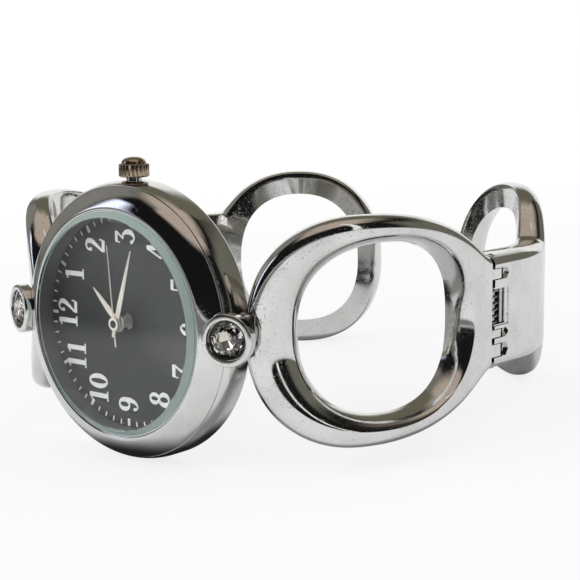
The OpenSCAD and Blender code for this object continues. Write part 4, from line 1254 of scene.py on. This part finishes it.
class WATCH_OT_collars(bpy.types.Operator):
    """Builds the collars, their foil cups, the seats, whose near-black paints the shade in the gaps round the
    stones, and the stones
    """
    bl_idname = "watch.collars"
    bl_label = "Collars and stones"

    def execute(self, context):
        top, floor, foot = NECK_H + COLLAR_HEAD_H, NECK_H - 0.05, -TONGUE_T - 1.1
        recess = RECESS_R
        head = rounded([
            (0, foot), (SHANK_R, foot, 0.1), (SHANK_R, 0), (NECK_R, 0, 0.05), (NECK_R, NECK_H),
            (COLLAR_R, NECK_H, 0.15), (COLLAR_R, top, 0.42), (recess, top, 0.12), (recess - 0.03, top - 0.45),
            (recess - 0.2, top - 0.62), (recess - 0.2, floor), (0, floor)], 6)
        foil = [(0, floor + 0.01), (0.5 * STONE_R, floor + 0.02), (recess - 0.24, top - 0.72),
                (recess - 0.24, top - 0.66), (recess - 0.21, top - 0.66), (recess - 0.21, floor + 0.005),
                (0, floor + 0.005)]
        ledge, inner, outer = NECK_H + 0.85, STONE_R + 0.02, recess - 0.01
        # A seat fills the gap round its stone; its near-black finish paints the shade there
        seat = [(inner, ledge - 0.3), (outer, ledge - 0.3), (outer, ledge), (inner, ledge - 0.12)]
        for side in SIDES:
            left = side == "left"
            add_piece("seat_" + side, mesh_of("seat", lathe(seat, AT_COLLAR, 96)), "head",
                      "seat_painted_shade", sharp=30, mirrored=left)
            collar = mesh_of("collar", lathe(head, AT_COLLAR, 128, False))
            stand_in("collar", collar, "collar_chrome", 40, side=side)
            add_piece("foil_" + side, mesh_of("foil", lathe(foil, AT_COLLAR, 64, False)), "head",
                      "foil", sharp=30, mirrored=left)
            stand_in("stone", mesh_of("stone", stone_shape(AT_COLLAR)), "stone_glass", 2, side=side)
        return {"FINISHED"}


class WATCH_OT_links(bpy.types.Operator):
    """Builds the open links of both sides"""
    bl_idname = "watch.links"
    bl_label = "Links"

    def execute(self, context):
        for name, right, bodies in (("front_link", front_link_mesh(), ("head", "head")),
                                    ("rear_link", rear_link_mesh(), ("rear_right", "rear_left"))):
            for mesh, body, side in zip((right, right.copy()), bodies, SIDES):
                stand_in(name, mesh, "link_chrome", body=body, side=side)
        return {"FINISHED"}


class WATCH_OT_hinges(bpy.types.Operator):
    """Builds the hinge pins, springs and leaves"""
    bl_idname = "watch.hinges"
    bl_label = "Hinges"

    def execute(self, context):
        r = PIN_R + 0.09 + WIRE_D / 2
        length = SPRING_TURNS * SPRING_PITCH
        start = (WINDOW[0] + WINDOW[1] - length) / 2
        path = [Vector((-SEAM_REACH + SNUG_GAP, -r, start)), Vector((-0.45, -r, start))]
        for i in range(SPRING_TURNS * COIL_STEPS + 1):
            a = 2 * math.pi * i / COIL_STEPS - math.pi / 2
            path.append(Vector((r * math.cos(a), r * math.sin(a), start + SPRING_PITCH * i / COIL_STEPS)))
        path.append(Vector((0.42, -r, start + length)))
        ends = PLATE_H / 2 - 0.2
        pin = rounded([(0, -ends), (PIN_R, -ends, 0.12), (PIN_R, ends, 0.12), (0, ends)])
        for side in SIDES:
            spring = mesh_of("spring", wire_shape(path, WIRE_D / 2, 12, AT_HINGE))
            stand_in("hinge_spring", spring, "spring_steel", 50, side=side)
            pin_mesh = mesh_of("pin", lathe(pin, AT_HINGE, 48, False))
            stand_in("hinge_pin", pin_mesh, "inner_steel", 40, side=side)
            dress("inner_steel", "spring_leaf_" + side)
        return {"FINISHED"}


class WATCH_OT_movement(bpy.types.Operator):
    """Gives the movement its finishes and winds the coil"""
    bl_idname = "watch.movement"
    bl_label = "Movement"

    def execute(self, context):
        dress("movement_brass", "main_plate", "train_bridge")
        dress("gilt_wheels", "centre_wheel", "seconds_wheel", "third_wheel", "fifth_wheel", "battery_strap")
        dress("holder_plastic", "movement_holder", "hour_wheel", "minute_wheel", "rotor")
        dress("inner_steel", "bridge_screws", "stator", "coil_core", "quartz_can", "battery")
        dress("board_green", "circuit_board")
        dress("gasket_nylon", "crystal_gasket")
        dress("gasket_rubber", "case_back_gasket")
        low, high = (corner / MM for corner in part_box("coil_winding"))
        middle = (low + high) / 2
        core, length, radius = 0.42, high.z - low.z, (high.x - low.x) / 2
        groove = radius - 0.04
        profile = [(core, 0.0)]
        for k in range(COIL_TURNS):
            profile += [(groove, length * k / COIL_TURNS), (radius, length * (k + 0.5) / COIL_TURNS)]
        profile += [(groove, length), (core, length)]
        place = Matrix.Translation((middle.x, middle.y, low.z))
        stand_in("coil_winding", mesh_of("coil", lathe(profile, place, 32)), "coil_copper", 60)
        return {"FINISHED"}


# Studio
CAMERA_AZIMUTH = math.radians(39.68)
CAMERA_HEIGHT = math.radians(9.17)
CAMERA_ROLL = math.radians(-0.54)
CAMERA_DISTANCE = 145.9
CAMERA_TARGET = (20.4, -0.4, 5.0)
CAMERA_LENS = 89.5
SENSOR_W = 36
CLIP_START = 0.005

# The floor runs under the case's edge and the rear links
FLOOR_LOW = Vector((0, -0.5, -15.32))
FLOOR_HIGH = Vector((0, 47.5, -12.28))
FLOOR_REACH = 4000.0
FLOOR_CELLS = 40

# Painted shade on the floor as polished metal mirrors it: dark under the case and the links, and away from
# the camera's side
CASE_MIDDLE_Y = 3
CASE_SHADE_R = (14.0, 8.0)
OVAL_MIDDLE_Y = 25
OVAL_R = 28
LINK_SHADE_W = (5.0, 2.0)
LINK_SHADE = 0.6
AWAY = (-0.643, -0.766)
AWAY_REACH = (85.0, 125.0)
AWAY_SHADE = 0.85
PAINTED_SHADE_SHARE = 0.04

# The floor as the camera sees it: a little shade near the watch, fading into white
WHITE_MIDDLE_Y = 20
WHITE_R = (60.0, 220.0)
WHITE_SHARE = (0.8, 1.0)

# Lamps: direction, distance in metres, size in metres and power
LAMPS = {
    "key": ((-0.4, -1.0, 0.6), 0.8, (0.5, 0.4), 2.0),
    "side": ((-0.85, -0.8, 0.25), 0.8, (0.12, 0.12), 1.3),
    "top": ((0.6, 0.5, 1.2), 0.9, (0.6, 0.6), 1.2),
}

# The room that polished metal mirrors, in degrees. A card is a colour, its span round the watch (0 is in
# front of the dial), its span up from the horizon, and how soft its edge is
ROOM = (0.008, 0.008, 0.008, 1)
CEILING = (0.50, 0.425, 0.35, 1)
CEILING_FROM = (50, 72)
TABLE = (0.8, 0.8, 0.8, 1)
TABLE_FROM = (-1.0, -3.5)
CARDS = (
    ((0.50, 0.41, 0.35), (-25, 112), (53, 78), 6),
    ((0.16, 0.155, 0.125), (112, 200), (-2, 42), 8),
    ((0.15, 0.14, 0.10), (-200, -112), (30, 72), 10),
    ((0.95, 0.95, 0.93), (-200, -118), (-2, 32), 7),
    ((0.24, 0.23, 0.21), (-112, -58), (-2, 58), 8),
    ((1.3, 1.4, 1.7), (-55, -43), (2, 34), 4),
    ((1.0, 0.97, 0.93), (77, 83), (0, 75), 1),
)
SOFT_LIGHT = (0.72, 0.72, 0.73, 1)
WHITE = (1, 1, 1, 1)


def camera_axes():
    azimuth, level = CAMERA_AZIMUTH, math.cos(CAMERA_HEIGHT)
    back = Vector((math.sin(azimuth) * level, -math.cos(azimuth) * level, math.sin(CAMERA_HEIGHT)))
    right = Vector((math.cos(azimuth), math.sin(azimuth), 0))
    up = back.cross(right)
    cos, sin = math.cos(CAMERA_ROLL), math.sin(CAMERA_ROLL)
    return cos * right + sin * up, -sin * right + cos * up, back


def make_camera():
    right, up, back = camera_axes()
    data = bpy.data.cameras.new("camera")
    data.lens = CAMERA_LENS
    data.sensor_width = SENSOR_W
    data.clip_start = CLIP_START
    camera = bpy.data.objects.new("camera", data)
    place = Vector(CAMERA_TARGET) + back * CAMERA_DISTANCE
    camera.matrix_world = Matrix((
        (right.x, up.x, back.x, place.x * MM), (right.y, up.y, back.y, place.y * MM),
        (right.z, up.z, back.z, place.z * MM), (0, 0, 0, 1)))
    bpy.context.scene.collection.objects.link(camera)
    bpy.context.scene.camera = camera


def floor_mesh():
    """A wide flat sheet, with small cells near the watch and large ones far away."""
    across = Vector((1, 0, 0))
    ahead = (FLOOR_HIGH - FLOOR_LOW).normalized()
    middle = (FLOOR_LOW + FLOOR_HIGH) / 2
    count = FLOOR_CELLS
    verts, faces = [], []
    for i in range(count + 1):
        for j in range(count + 1):
            u, v = 2 * i / count - 1, 2 * j / count - 1
            point = middle + across * FLOOR_REACH * u * abs(u) + ahead * FLOOR_REACH * v * abs(v)
            verts.append(point * MM)
    for i in range(count):
        for j in range(count):
            a = i * (count + 1) + j
            faces.append([a, a + count + 1, a + count + 2, a + 1])
    mesh = bpy.data.meshes.new("floor")
    mesh.from_pydata(verts, [], faces)
    return mesh


def distance(x, y, middle_y):
    return (x * x + (y - middle_y) * (y - middle_y)) ** 0.5


def floor_finish(colour):
    """Pale paper that is clear from below, white for the camera and with painted shade in reflections."""
    tree = new_finish("floor")
    place = tree.place()
    cloud = tree.noise(place, 0.02, 2.0)
    glow = tree.term("ShaderNodeEmission", None, {"Color": WHITE, "Strength": 1.0})
    seen, mirror = tree.rays("Camera", "Glossy")
    x, y, _ = tree.axes(place)
    under_case = tree.step(distance(x, y, CASE_MIDDLE_Y), *CASE_SHADE_R)
    beside = tree.sum_of("ABSOLUTE", distance(x, y, OVAL_MIDDLE_Y) - OVAL_R)
    under_links = tree.step(beside, *LINK_SHADE_W, 0.0, LINK_SHADE)
    away = tree.step(x * AWAY[0] + y * AWAY[1], *AWAY_REACH)
    under = tree.sum_of("MAXIMUM", under_case, under_links)
    # Painted shade: in reflections the floor's colour turns dark under the case and the links, and away from
    # the camera's side
    dark = mirror * tree.sum_of("MAXIMUM", under, away * AWAY_SHADE)
    pale = tree.mix(cloud, rgba(colour, 0.985), rgba(colour))
    paper = tree.principled({"Base Color": tree.mix(dark, pale, rgba(colour, PAINTED_SHADE_SHARE)),
                             "Roughness": 0.9, "Specular IOR Level": 0.1})
    white = tree.step(distance(x, y, WHITE_MIDDLE_Y), *WHITE_R, *WHITE_SHARE)
    front = tree.mix_shaders(seen * white, paper, glow)
    from_below = tree.term("ShaderNodeNewGeometry", output="Backfacing")
    tree.finish(tree.mix_shaders(from_below, front, tree.term("ShaderNodeBsdfTransparent")))


def make_floor(colour):
    floor_finish(colour)
    mesh = floor_mesh()
    mesh.materials.append(FINISHES["floor"])
    floor = bpy.data.objects.new("floor", mesh)
    bpy.context.scene.collection.objects.link(floor)


def make_lamp(name, direction, reach, size, power):
    data = bpy.data.lights.new(name, "AREA")
    data.shape = "RECTANGLE"
    data.size, data.size_y = size
    data.energy = power
    lamp = bpy.data.objects.new(name, data)
    ray = Vector(direction).normalized()
    lamp.location = ray * reach
    lamp.rotation_euler = ray.to_track_quat("Z", "Y").to_euler()
    lamp.visible_glossy = False
    bpy.context.scene.collection.objects.link(lamp)


def make_world():
    """White for the camera, soft light on the surfaces, and in reflections a dark room over a light table."""
    world = bpy.data.worlds.new("studio")
    bpy.context.scene.world = world
    tree = Tree(world)
    x, y, z = tree.axes(tree.term("ShaderNodeTexCoord", output="Generated"))
    azimuth = tree.sum_of("ARCTAN2", x, y * -1) * (180 / math.pi)
    height = tree.sum_of("ARCSINE", z) * (180 / math.pi)

    def band(value, low, high, soft):
        return tree.step(value, low - soft, low + soft) - tree.step(value, high - soft, high + soft)

    shown = tree.mix(tree.step(height, *CEILING_FROM), ROOM, CEILING)
    for colour, sides, levels, soft in CARDS:
        shown = tree.mix(band(azimuth, *sides, soft) * band(height, *levels, soft), shown, rgba(colour))
    shown = tree.mix(tree.step(height, *TABLE_FROM), shown, TABLE)
    seen, mirror = tree.rays("Camera", "Glossy")
    colour = tree.mix(seen, tree.mix(mirror, SOFT_LIGHT, shown), WHITE)
    light = tree.term("ShaderNodeBackground", None, {"Color": colour, "Strength": 1.0})
    tree.node("ShaderNodeOutputWorld", None, {"Surface": light})


class WATCH_OT_studio(bpy.types.Operator):
    """Sets up the camera, the floor, the lamps and the pale surroundings"""
    bl_idname = "watch.studio"
    bl_label = "Studio"

    def execute(self, context):
        make_camera()
        make_floor(tuple(context.scene.watch_colours.floor))
        for name, settings in LAMPS.items():
            make_lamp(name, *settings)
        make_world()
        context.scene.view_settings.view_transform = "Standard"
        return {"FINISHED"}


STEPS = (WATCH_OT_finishes, WATCH_OT_case, WATCH_OT_crystal, WATCH_OT_dial, WATCH_OT_hands,
         WATCH_OT_crown, WATCH_OT_collars, WATCH_OT_links, WATCH_OT_hinges, WATCH_OT_movement,
         WATCH_OT_studio)


class WATCH_PT_panel(bpy.types.Panel):
    """The watch's sizes, colours and building steps"""
    bl_idname = "WATCH_PT_panel"
    bl_label = "Cuff Bracelet Watch"
    bl_space_type = "VIEW_3D"
    bl_region_type = "UI"
    bl_category = "Watch"

    def draw(self, context):
        for settings in (context.scene.watch_sizes, context.scene.watch_colours):
            column = self.layout.column()
            for name in settings.__annotations__:
                column.prop(settings, name)
        for step in STEPS:
            self.layout.operator(step.bl_idname)


CLASSES = (WatchSizes, WatchColours) + STEPS + (WATCH_PT_panel,)


def register():
    for item in CLASSES:
        bpy.utils.register_class(item)
    bpy.types.Scene.watch_sizes = PointerProperty(type=WatchSizes)
    bpy.types.Scene.watch_colours = PointerProperty(type=WatchColours)


def unregister():
    del bpy.types.Scene.watch_colours
    del bpy.types.Scene.watch_sizes
    for item in reversed(CLASSES):
        bpy.utils.unregister_class(item)


def main():
    register()
    for step in STEPS:
        area, name = step.bl_idname.split(".")
        getattr(getattr(bpy.ops, area), name)()


if __name__ == "__main__":
    main()
